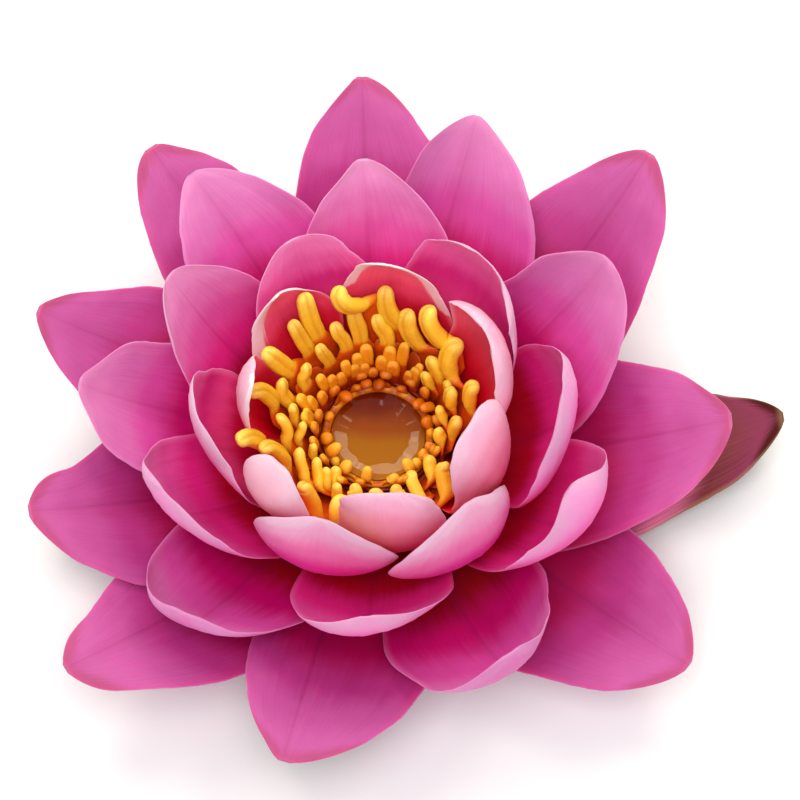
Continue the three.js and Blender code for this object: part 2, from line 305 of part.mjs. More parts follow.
// one stamen: strap-shaped filament from the shoulder up to a thicker anther
function stamen(pts, w, wf, n, S, grow = 0) {
  const c = curve(pts, S), az = Math.atan2(pts[0][1], pts[0][0]);
  let ac = new THREE.Vector3(-Math.sin(az), Math.cos(az), 0);
  return sweep(c.map((q, i) => {
    const a = c[Math.max(0, i - 1)], b = c[Math.min(S, i + 1)];
    const d = new THREE.Vector3(b[0] - a[0], b[1] - a[1], b[2] - a[2]).normalize();
    ac = ac.clone().addScaledVector(d, -ac.dot(d)).normalize();
    const out = new THREE.Vector3().crossVectors(d, ac);
    const u = i / S;
    return {
      c: q, across: ac.toArray(), out: out.toArray(),
      w: w * step(u, [0, 0.1, 0.5, 0.62, 0.8, 0.95, 1], [0.7 * wf, wf, wf, 0.95, 1, 0.9, 0.5]) + 2 * grow,
      t: w * step(u, [0, 0.5, 0.65, 0.95, 1], [0.32, 0.34, 0.6, 0.58, 0.36]) + 2 * grow,
    };
  }), n);
}

// ------------------------------------------------------------------- solids
const wasm = await Module();
wasm.setup();
const { Manifold, Mesh } = wasm;
function toManifold({ v, idx }) {
  const m = new Mesh({ numProp: 3, vertProperties: Float32Array.from(v), triVerts: Uint32Array.from(idx) });
  m.merge();
  let s = new Manifold(m);
  if (s.volume() < 0) {
    const rev = [];
    for (let i = 0; i < idx.length; i += 3) rev.push(idx[i], idx[i + 2], idx[i + 1]);
    s = new Manifold(new Mesh({ numProp: 3, vertProperties: Float32Array.from(v), triVerts: Uint32Array.from(rev) }));
  }
  return s;
}
function lathe(profile, seg) {
  const g = new THREE.LatheGeometry(profile.map(([r, z]) => new THREE.Vector2(r, z)), seg);
  g.deleteAttribute('normal'); g.deleteAttribute('uv');
  // weld the seam and the poles, and stand the axis up along +Z
  const pos = g.attributes.position, map = new Map(), v = [], at = [];
  for (let i = 0; i < pos.count; i++) {
    const x = pos.getX(i), y = -pos.getZ(i), z = pos.getY(i);
    const key = [x, y, z].map((n) => Math.round(n * 1e4)).join();
    if (!map.has(key)) { map.set(key, v.length / 3); v.push(x, y, z); }
    at.push(map.get(key));
  }
  const idx = [], src = g.index;
  for (let i = 0; i < src.count; i += 3) {
    const a = at[src.getX(i)], b = at[src.getX(i + 1)], c = at[src.getX(i + 2)];
    if (a !== b && b !== c && a !== c) idx.push(a, b, c);
  }
  return { v, idx };
}
const biggest = (s) => {
  const parts = s.decompose();
  return parts.length < 2 ? s : parts.reduce((a, b) => (b.volume() > a.volume() ? b : a));
};

const items = [];   // { name, solid, fat, colour, rough }; earlier ones keep their full shape
const add = (name, solid, fat, colour, rough) => items.push({ name, solid, fat, colour, rough });

// receptacle with the cut stalk: one grown piece, hollowed at the top
const RECEPTACLE = [[0, 0], [STALK_R, 0], [STALK_R, NECK_Z], [5.4, NECK_Z + 0.7],
  [8.2, 4.6], [SEAT_R - 0.4, 6.2], [SEAT_R, 8], [SEAT_R, 15.2], [10.6, 16.1], [SHOULDER_R, 16.3],
  [SHOULDER_R, SHOULDER_Z], [9.65, SHOULDER_Z], [9.25, 15.2], [7.5, 14.35], [0, 14.15]];
const FATTER = [[0, -CLEAR], [STALK_R + CLEAR, -CLEAR], [STALK_R + CLEAR, NECK_Z], [5.4 + CLEAR, NECK_Z + 0.5],
  [8.4, 4.3], [SEAT_R, 6], [SEAT_R + CLEAR, 8], [SEAT_R + CLEAR, 15], [10.7, 15.8], [SHOULDER_R + CLEAR, 16.0],
  [SHOULDER_R + CLEAR, SHOULDER_Z + CLEAR], [9.35, SHOULDER_Z + CLEAR], [9.0, 15.4], [7.4, 14.65], [0, 14.45]];
add('receptacle', toManifold(lathe(RECEPTACLE, 24)), toManifold(lathe(FATTER, 24)), 0x7d8a3c, 0.6);
// stigma: a bowl in the top of the receptacle, with an upturned tooth for each carpel
{
  let disc = toManifold(lathe([[0, 14.5], [7.35, 14.7], [8.9, 15.6], [9.3, 17.0], [9.3, 18.3], [9.0, 18.6],
    [8.7, 18.2], [8.45, 16.7], [7.1, 15.55], [2.0, 15.3], [0, 15.45]], 30));
  const teeth = [];
  for (let i = 0; i < CARPELS; i++) {
    const a = 2 * Math.PI * i / CARPELS, c = Math.cos(a), s = Math.sin(a);
    const st = [[8.95, 17.6, 1.5, 0.5], [9.0, 18.9, 1.15, 0.45], [8.85, 20.0, 0.6, 0.35]]
      .map(([r, z, w, t]) => ({ c: [r * c, r * s, z], across: [-s, c, 0], out: [c, s, 0], w, t }));
    teeth.push(toManifold(sweep(st, 4)));
  }
  disc = Manifold.union([disc, ...teeth]);
  add('stigma_disc', disc, toManifold(lathe([[0, 14.2], [7.45, 14.4], [9.2, 15.4], [9.6, 17.0],
    [9.6, 20.3], [8.4, 20.3], [8.4, 18.2], [8.15, 16.8], [6.95, 15.85], [2.0, 15.6], [0, 15.75]], 40)), 0xd9a026, 0.5);
  const pool = lathe([[0, 15.85], [2.0, 15.7], [6.9, 15.95], [8.0, 16.9], [8.24, 17.5], [8.0, 17.45], [6.5, 17.3], [0, 17.3]], 28);
  add('nectar_pool', toManifold(pool), null, 0xb47414, 0.05);
}
OUTER.forEach(([pts, w, wf], i) => {
  const mk = (g) => toManifold(stamen(pts, w, wf, 6, 7, g));
  add(`stamen_outer_${String(i + 1).padStart(2, '0')}`, mk(0), mk(CLEAR), 0xf0b030, 0.5);
});
function ring(name, list, rIn, rOut, z, S) {
  const mk = (g) => {
    const all = [toManifold(lathe([[rIn - g, z - g], [rOut + g, z - g], [rOut + g, z + 0.9 + g], [rIn - g, z + 0.9 + g], [rIn - g, z - g]], 28))];
    for (const [pts, w, wf] of list) all.push(toManifold(stamen(pts, w, wf, S > 3 ? 5 : 4, S, g)));
    return biggest(Manifold.union(all));
  };
  add(name, mk(0), mk(CLEAR), 0xeda028, 0.5);
}
ring('stamens_middle', MIDDLE, 10.75, 11.25, SHOULDER_Z + CLEAR, 4);
ring('stamens_inner', INNER, 9.75, 10.3, SHOULDER_Z + CLEAR, 3);
// innermost petals first: they keep their full shape
const NEST = ['S4', 'S3', 'S2', 'S1', 'A7', 'A9', 'A3', 'A2', 'A5', 'A1', 'A8', 'A4', 'A6', 'B2', 'B1', 'B3', 'B4', 'B6', 'C1', 'B5', 'C2', 'C3', 'C5', 'C4', 'C6', 'D2', 'D1', 'D5', 'D3', 'D4', 'E2', 'E1', 'E6', 'E3', 'E4', 'E7', 'E5'];
for (const k of NEST.slice().reverse()) {
  const p = asShape(SHAPES[k]);
  const sepal = k[0] === 'S';
  const [a, b] = sepal ? [SEPAL_T_BASE, SEPAL_T_EDGE] : [PETAL_T_BASE, PETAL_T_EDGE];
  const name = (sepal ? 'sepal_' : 'petal_') + k;
  const col = sepal ? 0x7a3550 : { A: 0xc8509c, B: 0xc94f9b, C: 0xca4c98, D: 0xd06aa8, E: 0xe08ab0 }[k[0]];
  add(name, toManifold(shell(p, a, b)), toManifold(shell(p, a, b, CLEAR)), col, 0.55);
}

// keep the solids clear of one another: a later one is cut back by the earlier
const group = new THREE.Group();
group.name = 'water_lily_flower';
const over = (p, q) => [0, 1, 2].every((a) => p.min[a] < q.max[a] && q.min[a] < p.max[a]);
items.forEach((it, i) => {
  let s = it.solid;
  for (let j = 0; j < i; j++) {
    const o = items[j];
    if (!o.fat || !over(s.boundingBox(), o.fat.boundingBox())) continue;
    if (Manifold.intersection(s, o.fat).volume() > 1e-5) s = biggest(Manifold.difference(s, o.fat));
  }
  it.solid = s;
  const m = biggest(s.simplify(0.05)).getMesh();
  const g = new THREE.BufferGeometry(), n = m.numProp, v = new Float32Array(m.vertProperties.length / n * 3);
  for (let k = 0; k < v.length / 3; k++) {
    v[3 * k] = m.vertProperties[n * k] - CENTRE[0]; v[3 * k + 1] = m.vertProperties[n * k + 1] - CENTRE[1];
    v[3 * k + 2] = m.vertProperties[n * k + 2];
  }
  g.setAttribute('position', new THREE.BufferAttribute(v, 3));
  g.setIndex(new THREE.BufferAttribute(Uint32Array.from(m.triVerts), 1));
  g.computeVertexNormals();
  const mesh = new THREE.Mesh(g, new THREE.MeshStandardMaterial({ color: it.colour, roughness: it.rough, metalness: 0 }));
  mesh.name = it.name;
  group.add(mesh);
});
export default group;
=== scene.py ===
import math
import bpy
import numpy as np
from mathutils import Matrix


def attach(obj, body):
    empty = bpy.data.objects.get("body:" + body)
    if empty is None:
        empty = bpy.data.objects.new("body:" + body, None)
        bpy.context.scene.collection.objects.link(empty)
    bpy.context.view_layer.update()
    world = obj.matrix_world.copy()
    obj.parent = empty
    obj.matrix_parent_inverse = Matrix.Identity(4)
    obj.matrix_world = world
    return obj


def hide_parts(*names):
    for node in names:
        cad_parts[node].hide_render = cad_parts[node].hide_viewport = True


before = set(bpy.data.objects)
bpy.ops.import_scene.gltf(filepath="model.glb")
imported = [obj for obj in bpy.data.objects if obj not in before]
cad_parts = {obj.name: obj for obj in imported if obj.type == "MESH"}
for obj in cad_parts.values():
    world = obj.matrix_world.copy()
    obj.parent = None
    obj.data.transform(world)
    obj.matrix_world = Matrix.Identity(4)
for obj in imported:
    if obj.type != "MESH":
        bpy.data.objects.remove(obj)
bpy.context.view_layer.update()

MM = 0.001
CX, CY = 5.33, 3.68            # the flower's axis stands at (-CX, -CY), in mm
END = 0.996
FOOT_R = 10.05
KEYS = ['phi', 'r0', 'z0', 'L', 'W', 'p0', 'p1', 'p2', 'yaw', 'tw', 'cL', 'cR', 'cf', 'rL', 'rR', 'm', 'e', 'hk', 'as', 'rs']
SHAPES = {
    'S1': [2.62, 11.21, 4.25, 61.75, 27.42, -13.1, 4.4, 27.6, 6.7, -10.5, 1.1, 2.4, 1.003, -2.9, -0.9, 0.482, 0.652, 2, -0.096, 0.998],
    'A9': [-133.83, 12.43, 5.64, 57.25, 29.57, 14.2, 17.1, 15.7, -15.8, 6.6, 9.4, 14.8, 1.041, -3.1, -1.5, 0.483, 0.682, -4.8, 0.103, 0.964],
    'A7': [-37.85, 11.9, 6.11, 55.27, 30.92, 13.8, 7.9, 26.3, -1.1, 3.7, 18.8, 8.1, 1.069, -8.3, -6.9, 0.532, 0.658, -12, -0.06, 0.933],
    'A8': [-105.47, 11.55, 6.57, 52.32, 31.78, 13.7, 20.5, 15.2, 1.9, -3.6, -1.5, 12.8, 0.957, 1.6, -1.9, 0.494, 0.644, -1.3, 0.22, 0.987],
    'A1': [-162.8, 11.58, 7.21, 52.09, 28.94, 20.7, 17.2, 24.3, -4, -5.8, 1.8, 26.1, 1.008, 3.4, 3.8, 0.493, 0.645, -0.7, 0.137, 1.062],
    'A2': [158.56, 11.78, 6.92, 53.25, 27.3, 23.1, 14.4, 14, 3.5, -0.6, -4.1, 22.2, 0.933, -11.5, 0.6, 0.499, 0.68, 8, 0.024, 1.03],
    'A3': [126.9, 12.19, 5.98, 57.31, 26.05, 23.4, 11.1, 23.6, -0.5, -0.4, 9.6, 13.4, 1.025, -3.6, -2.4, 0.476, 0.573, 2.3, 0.008, 0.994],
    'A5': [39.21, 12.12, 6.43, 60.67, 29.04, 19.6, 17.6, 18.3, 17.9, 2.9, 14.6, 3.1, 0.996, -1.3, -8, 0.478, 0.627, 3.3, 0.005, 1.016],
    'A4': [92.78, 11.61, 6.94, 58.11, 27.8, 27, 13.2, 11.7, -0.7, -0.3, 23.3, 16.7, 1.063, 11.6, -2.8, 0.512, 0.656, -3.9, -0.018, 1.021],
    'A6': [-2.72, 11.66, 7.63, 51.27, 35.18, 15.7, 17.4, 25.4, 8.1, -7.8, 18.9, 7.7, 1.005, -3.7, -4, 0.445, 0.625, 0.4, -0.063, 0.974],
    'B1': [125.2, 11.76, 8.69, 48.21, 28.26, 33.8, 30.2, 20.7, 3.6, 2, 11.9, 33.9, 1.021, -8.8, 12.8, 0.495, 0.625, -0.8, -0.026, 0.96],
    'B2': [71.81, 12.67, 8.83, 49.95, 31.43, 27.9, 28, 28.3, 1.4, 11.4, 48.5, 17.8, 1.161, 19.5, -1.4, 0.51, 0.735, -5.7, -0.053, 1.042],
    'B6': [174.99, 11.93, 8.98, 45, 25.23, 34.3, 26.5, 43.8, 2.5, -10.3, 4.1, 25, 0.919, 12, 4.9, 0.565, 0.609, 3.1, 0.003, 1.077],
    'B3': [29.23, 11.61, 9.16, 43.31, 30.71, 22.1, 35.7, 37.3, 11.1, -0.6, 40.5, 5.2, 1.128, 7.4, 2.6, 0.469, 0.634, -4.4, -0.104, 1.057],
    'B4': [-65.86, 11.58, 8.46, 51.75, 30.43, 18.6, 19.7, 106.3, 7.2, 5.3, 37.4, 26, 1.42, -5, 4.4, 0.558, 0.593, 39.3, -0.021, 1.03],
    'B5': [-131.37, 11.96, 9.22, 47.52, 29.29, 23.7, 19.2, 85, 0.6, 20.7, 10.8, 32.1, 1.203, 24.6, 25.1, 0.537, 0.527, 52.3, -0.048, 1.477],
    'C1': [154, 12.51, 11.02, 41.35, 26.94, 27.6, 50.4, 54.5, -10.2, 4.4, 17.5, 44.4, 1.288, 35.9, 11, 0.529, 0.526, -2.6, 0.039, 1.23],
    'C2': [92.85, 12.15, 11.13, 40.97, 29.8, 47.4, 37.9, 49.1, 2.1, 1.5, 41.3, 30.8, 1.191, 10.1, 14.7, 0.486, 0.627, 5.3, -0.055, 1.124],
    'C5': [-29.21, 11.85, 10.13, 47.62, 31.15, 17.1, 38.9, 132.1, -0.1, -4.4, 36.1, 44.8, 1.39, 2.2, -3.9, 0.521, 0.64, 44.2, -0.022, 1.029],
    'C6': [-2.56, 12.82, 11.87, 39.95, 33.16, 19.8, 53.9, 128.9, -0.8, -8.2, 41.3, 29.4, 1.166, 21.5, 37.3, 0.526, 0.628, 9.1, -0.045, 1.13],
    'C3': [-152.38, 12.11, 12.08, 42.35, 29.18, 17.9, 36.8, 94.6, 5, 11.8, 27.4, 32.2, 1.164, 13.9, 29.1, 0.593, 0.564, 29.2, -0.024, 1.111],
    'C4': [-91.65, 13.11, 11.4, 42.98, 28.39, 21, 38.1, 110.3, -7.5, 14.9, 27.3, 29.7, 1.444, 0.7, 9, 0.528, 0.635, 18.7, 0.034, 1.086],
    'D1': [118.65, 12.5, 13.6, 32.15, 24.65, 52.7, 54.7, 68.7, -0.3, 0, 25.5, 30.5, 1.06, -1.1, -1.3, 0.532, 0.519, -4.9, 0.025, 1.03],
    'D2': [48.63, 12.42, 13.73, 33.73, 31.25, 43.6, 54.6, 96.4, -3.4, -7.2, 27.5, 37, 1.225, 12.9, 23.1, 0.533, 0.34, 10.4, -0.017, 1.123],
    'D3': [191.8, 12.63, 14.24, 35.3, 28.61, 30.7, 52.8, 106, 7.8, 6.7, 22.7, 38.1, 1.331, 6.5, 5.2, 0.506, 0.437, 8.7, -0.012, 1.103],
    'E1': [134.45, 12.27, 15.48, 28.11, 17.79, 55.5, 56.1, 99.3, 2.7, 1, 15.5, 42.1, 0.96, -21, 18.4, 0.564, 0.616, 16.7, -0.027, 1.073],
    'E2': [85.23, 12.07, 15.17, 28.16, 19.59, 56.3, 60, 110, -3.1, -4.2, 24.6, 17.9, 1.115, -4.5, 6.4, 0.525, 0.585, 12.7, -0.065, 1.089],
    'E3': [26.8, 12.28, 15.24, 31.36, 22.25, 53.7, 64.5, 134.2, -3.7, -1.2, 42.8, 47.6, 1.217, 21.3, 21.1, 0.594, 0.437, 8.4, -0.016, 1.203],
    'E4': [176.59, 12.11, 15.44, 31.42, 14.75, 38, 68.2, 118.7, 0.8, -2.4, 41.5, 49.2, 0.91, 9.6, 11.6, 0.547, 0.504, 19.1, 0.018, 1.007],
    'E5': [-136.15, 12.31, 15.32, 36.87, 18.25, 29.5, 65.9, 128.6, 2, 3, 43.7, 45.8, 1.093, 7, 9.3, 0.537, 0.495, 9.5, 0.048, 1.004],
    'E6': [-83.17, 12.42, 14.91, 35.28, 20.9, 11.7, 75.8, 125.8, -1.9, -3.3, 42.1, 46.5, 1.013, 10, 10.2, 0.533, 0.484, 3, -0.002, 0.998],
    'E7': [-32.7, 13.41, 15.25, 37.2, 19.72, 22.6, 83.3, 122, -2.7, 2.6, 46.9, 47.9, 0.921, 13.4, 7.9, 0.556, 0.403, -13.1, -0.003, 1.059],
    'D4': [-110.67, 12.54, 14.46, 39.09, 25.23, -5.6, 64.6, 131.1, -0.9, 11.6, 37.9, 49.6, 0.764, 11.8, 8.2, 0.668, 0.641, 3.8, -0.013, 0.918],
    'D5': [-54.81, 12.9, 14.61, 39.06, 27.91, -0.5, 63.2, 138.8, -7.9, 11.2, 63, 41.7, 1.046, 15, 10.6, 0.68, 0.722, 4.2, -0.087, 1.017],
    'S2': [80.01, 11.17, 4.11, 52.95, 26.37, -20.9, 6.5, 26.9, -0.2, 0.1, 20.3, 20, 0.998, -2.4, -1, 0.484, 0.655, -0.1, 0, 1.005],
    'S3': [191.38, 11.17, 3.88, 51.7, 26.84, -21.1, 7.4, 25.8, -0.1, -0.2, 17.9, 20, 1.003, -3.3, -1.1, 0.484, 0.652, -0.1, -0.002, 1.001],
    'S4': [-104.77, 11.22, 3.73, 47.22, 27.44, -15.1, 7, 25.1, -0.4, -5.3, -2.3, 17.5, 1.012, -12.3, -3.3, 0.484, 0.656, 0.1, 0.002, 1],
}
# small corrections of the outline, in mm: left edge, right edge at six places
EDGE = {
    'S1': [[0.0, 0.0, 0.0, 0.0, -0.6, 0.0], [0.0, 0.6, 1.8, 0.0, 0.0, -0.3]],
    'A9': [[0.0, 0.3, 0.6, 0.3, -0.3, 0.6], [0.0, 0.0, 0.0, -0.6, -1.2, 0.0]],
    'A7': [[0.0, 0.0, 0.0, 0.0, 0.0, -0.3], [0.0, 0.6, 1.8, 0.0, 0.0, 0.0]],
    'A8': [[0.0, 0.0, 0.3, 0.3, 0.0, 0.0], [0.0, -0.6, -1.8, -0.6, 0.0, -0.6]],
    'A1': [[0.0, -0.3, -0.3, 0.3, -0.3, -0.6], [0.0, 0.0, 0.0, 0.3, -1.2, 0.6]],
    'A2': [[0.0, 0.0, 0.0, 0.3, -0.3, -0.3], [0.0, 0.0, 0.0, 0.0, -1.2, -0.6]],
    'A3': [[0.0, 0.0, -0.3, -0.3, -0.6, 0.0], [0.0, 0.0, 0.3, 0.3, 0.3, -0.6]],
    'A5': [[0.0, 0.0, 0.0, 0.0, -0.6, -0.3], [0.0, 0.6, 1.2, 0.0, 0.0, -0.3]],
    'A4': [[0.0, 0.0, 0.0, -0.3, -0.6, -1.2], [0.0, 0.0, 0.3, 1.2, 0.0, 0.0]],
    'A6': [[0.0, 0.0, 0.0, -0.3, 0.0, -0.3], [0.9, 0.9, 0.3, 0.0, 0.3, 0.0]],
    'B1': [[0.0, 0.0, -0.3, -0.9, -0.6, -0.6], [0.0, 0.0, 0.0, 0.3, -0.3, -0.6]],
    'B2': [[0.0, 0.0, -0.6, -2.1, -0.3, -0.3], [0.0, 0.0, 0.3, 0.0, -0.3, -0.6]],
    'B6': [[0.0, 0.0, 0.0, 0.0, 0.0, -1.2], [0.0, 0.0, 0.3, -0.6, 0.0, -1.2]],
    'B3': [[0.0, -0.3, -0.9, -1.5, 0.3, 0.0], [0.0, -0.3, 0.3, 0.0, 0.0, 0.6]],
    'B4': [[0.0, 0.6, 0.9, -0.9, -0.3, -0.3], [-0.6, -1.2, 0.6, -0.6, 0.6, 0.9]],
    'B5': [[0.0, 0.6, 0.9, -0.6, -1.2, -0.6], [0.0, 0.3, 0.3, 0.0, -0.3, -1.5]],
    'C1': [[0.0, 0.0, -0.6, -0.9, -0.9, -0.9], [0.0, 0.0, 0.0, -0.3, -0.3, -0.9]],
    'C2': [[0.0, 0.0, -0.3, -0.3, -0.6, -1.5], [0.0, 0.0, 0.3, 0.0, -0.3, -0.6]],
    'C5': [[0.0, 0.0, 0.3, 0.0, -0.6, -0.3], [0.0, 0.0, 0.0, 0.6, 0.3, 0.0]],
    'C6': [[1.5, 0.6, 0.0, -0.9, -0.6, -0.3], [0.0, -0.6, 0.6, 0.6, 0.0, 0.0]],
    'C3': [[2.4, 2.4, 0.9, 0.0, -0.3, 0.0], [1.2, 0.3, -0.3, -0.6, -0.9, 0.3]],
    'C4': [[0.0, 0.0, 0.0, -0.3, -0.3, 0.0], [0.3, -0.6, 0.0, -0.3, 0.0, -0.3]],
    'D1': [[0.0, 0.0, -0.6, -0.9, -0.3, -0.3], [0.0, -0.3, -0.3, -0.3, -0.3, 0.6]],
    'D2': [[0.0, -0.3, -0.9, -0.3, 0.3, 0.0], [0.0, -0.3, -0.6, -0.3, -0.6, 0.3]],
    'D3': [[0.0, -0.6, -1.8, -1.2, -1.2, -0.6], [0.0, -0.6, 0.0, -0.6, 0.0, 0.6]],
    'E1': [[1.5, 0.6, 0.0, -0.6, -0.6, -1.2], [0.0, 0.3, 0.9, -0.3, -1.5, -2.1]],
    'E2': [[0.0, 0.0, -0.3, -0.6, 0.0, 0.9], [2.4, 2.7, 1.2, -0.3, -0.6, -1.5]],
    'E3': [[-1.2, -1.2, -1.2, 1.8, 2.4, 1.8], [1.2, 1.2, 1.8, 3.6, 1.8, 1.2]],
    'E4': [[0.0, 0.0, 0.0, 0.3, 0.0, 0.0], [0.9, 0.9, 0.9, 0.6, 0.3, 0.0]],
    'E5': [[0.0, 0.0, 0.0, 0.0, 0.0, 0.0], [0.0, 0.0, -0.6, -0.9, -0.6, -0.3]],
    'E6': [[1.0, 0.0, 0.0, 0.3, 1.0, 1.1], [1.0, 0.0, 0.0, 0.4, 1.5, 2.4]],
    'E7': [[0.0, -0.3, -1.2, 0.0, 2.1, 1.2], [0.0, 0.0, 0.0, 0.0, 0.3, 0.6]],
    'D4': [[-0.6, -0.9, -0.1, 2.1, 0.9, -0.6], [0.0, 0.0, 0.0, 0.0, 0.0, -1.2]],
    'D5': [[-0.3, 0.0, 0.0, 0.0, -0.6, -0.6], [-0.6, 0.6, 0.6, 1.2, -1.2, -1.5]],
}
OUTER = [
    ([(-6.73, 9.63, 16.9), (-10.25, 14.68, 26.64), (-11.29, 15.83, 29.39), (-12.05, 17.45, 32.35), (-12.55, 19.14, 34.49)], 3.19, 1.67, {}),
    ([(-8.06, 8.55, 16.9), (-11.36, 12.06, 24.51), (-12.39, 12.7, 27.11), (-13.55, 13.63, 30.03), (-14.63, 14.83, 32.43)], 2.60, 1.67, {}),
    ([(-0.71, 11.73, 16.9), (-1.16, 19.12, 29.0), (-3.05, 18.41, 30.56), (-5.32, 17.69, 32.36), (-6.47, 18.74, 33.75), (-6.03, 20.17, 34.82)], 3.60, 1.67, {'a0': 0.66}),
    ([(2.31, 11.52, 16.9), (3.33, 16.61, 25.64), (1.87, 17.95, 28.62), (1.27, 19.34, 30.8), (1.41, 21.15, 32.8)], 3.19, 1.67, {}),
    ([(6.56, 9.75, 16.9), (8.38, 12.47, 22.54), (7.0, 13.48, 24.66), (5.34, 14.98, 27.3), (4.93, 16.55, 29.11), (5.54, 17.91, 30.35)], 3.21, 2.08, {}),
    ([(8.13, 8.48, 16.9), (12.13, 12.66, 25.84), (10.75, 13.5, 27.32), (9.16, 14.65, 29.05), (8.42, 16.33, 30.6), (9.41, 17.86, 31.79)], 3.89, 2.00, {}),
    ([(10.4, 5.46, 16.9), (13.52, 7.1, 22.29), (12.53, 8.07, 24.16), (11.82, 9.7, 26.56), (12.46, 11.2, 28.54), (14.32, 11.74, 30.12)], 3.89, 2.00, {}),
    ([(11.58, 1.97, 16.9), (15.32, 2.61, 22.11), (15.45, 3.42, 24.76), (15.65, 4.37, 27.38), (16.82, 4.61, 29.04)], 3.00, 1.83, {}),
    ([(11.3, 3.24, 16.9), (12.52, 3.59, 19.38), (12.23, 4.65, 23.21), (12.62, 5.56, 25.39)], 2.87, 1.67, {}),
    ([(7.61, -8.95, 16.9), (11.32, -13.31, 21.7), (11.04, -10.51, 23.38), (10.5, -8.01, 24.71), (11.57, -7.21, 25.23)], 2.74, 3.17, {'curl': 1.0}),
    ([(-3.3, -11.28, 16.9), (-5.67, -19.35, 22.61), (-5.92, -18.15, 24.89), (-6.29, -16.42, 27.67), (-6.37, -15.65, 28.5)], 4.24, 2.25, {'curl': 1.2, 'cleft': 1.0}),
    ([(-6.03, -10.08, 16.9), (-9.96, -16.64, 22.57), (-11.08, -15.29, 26.94), (-12.6, -14.16, 30.67), (-14.2, -15.27, 32.45)], 3.00, 1.92, {'curl': 0.6}),
    ([(-10.0, -6.17, 16.9), (-14.65, -9.03, 22.14), (-15.8, -7.72, 27.26), (-17.82, -7.47, 30.95), (-19.32, -8.78, 32.82)], 2.81, 1.83, {}),
    ([(-11.26, -3.35, 16.9), (-18.33, -5.46, 24.45), (-19.76, -5.76, 29.19), (-21.45, -6.64, 33.16), (-22.94, -8.41, 36.03)], 3.00, 1.67, {}),
    ([(-11.7, 1.13, 16.9), (-16.83, 1.63, 23.45), (-17.67, 2.54, 27.22), (-19.56, 2.72, 30.77), (-21.45, 1.4, 33.1)], 2.93, 1.75, {}),
    ([(-9.86, 6.39, 16.9), (-13.65, 8.85, 23.72), (-15.34, 8.53, 26.55), (-17.26, 8.67, 29.97), (-19.1, 9.2, 32.8)], 3.29, 1.67, {}),
]
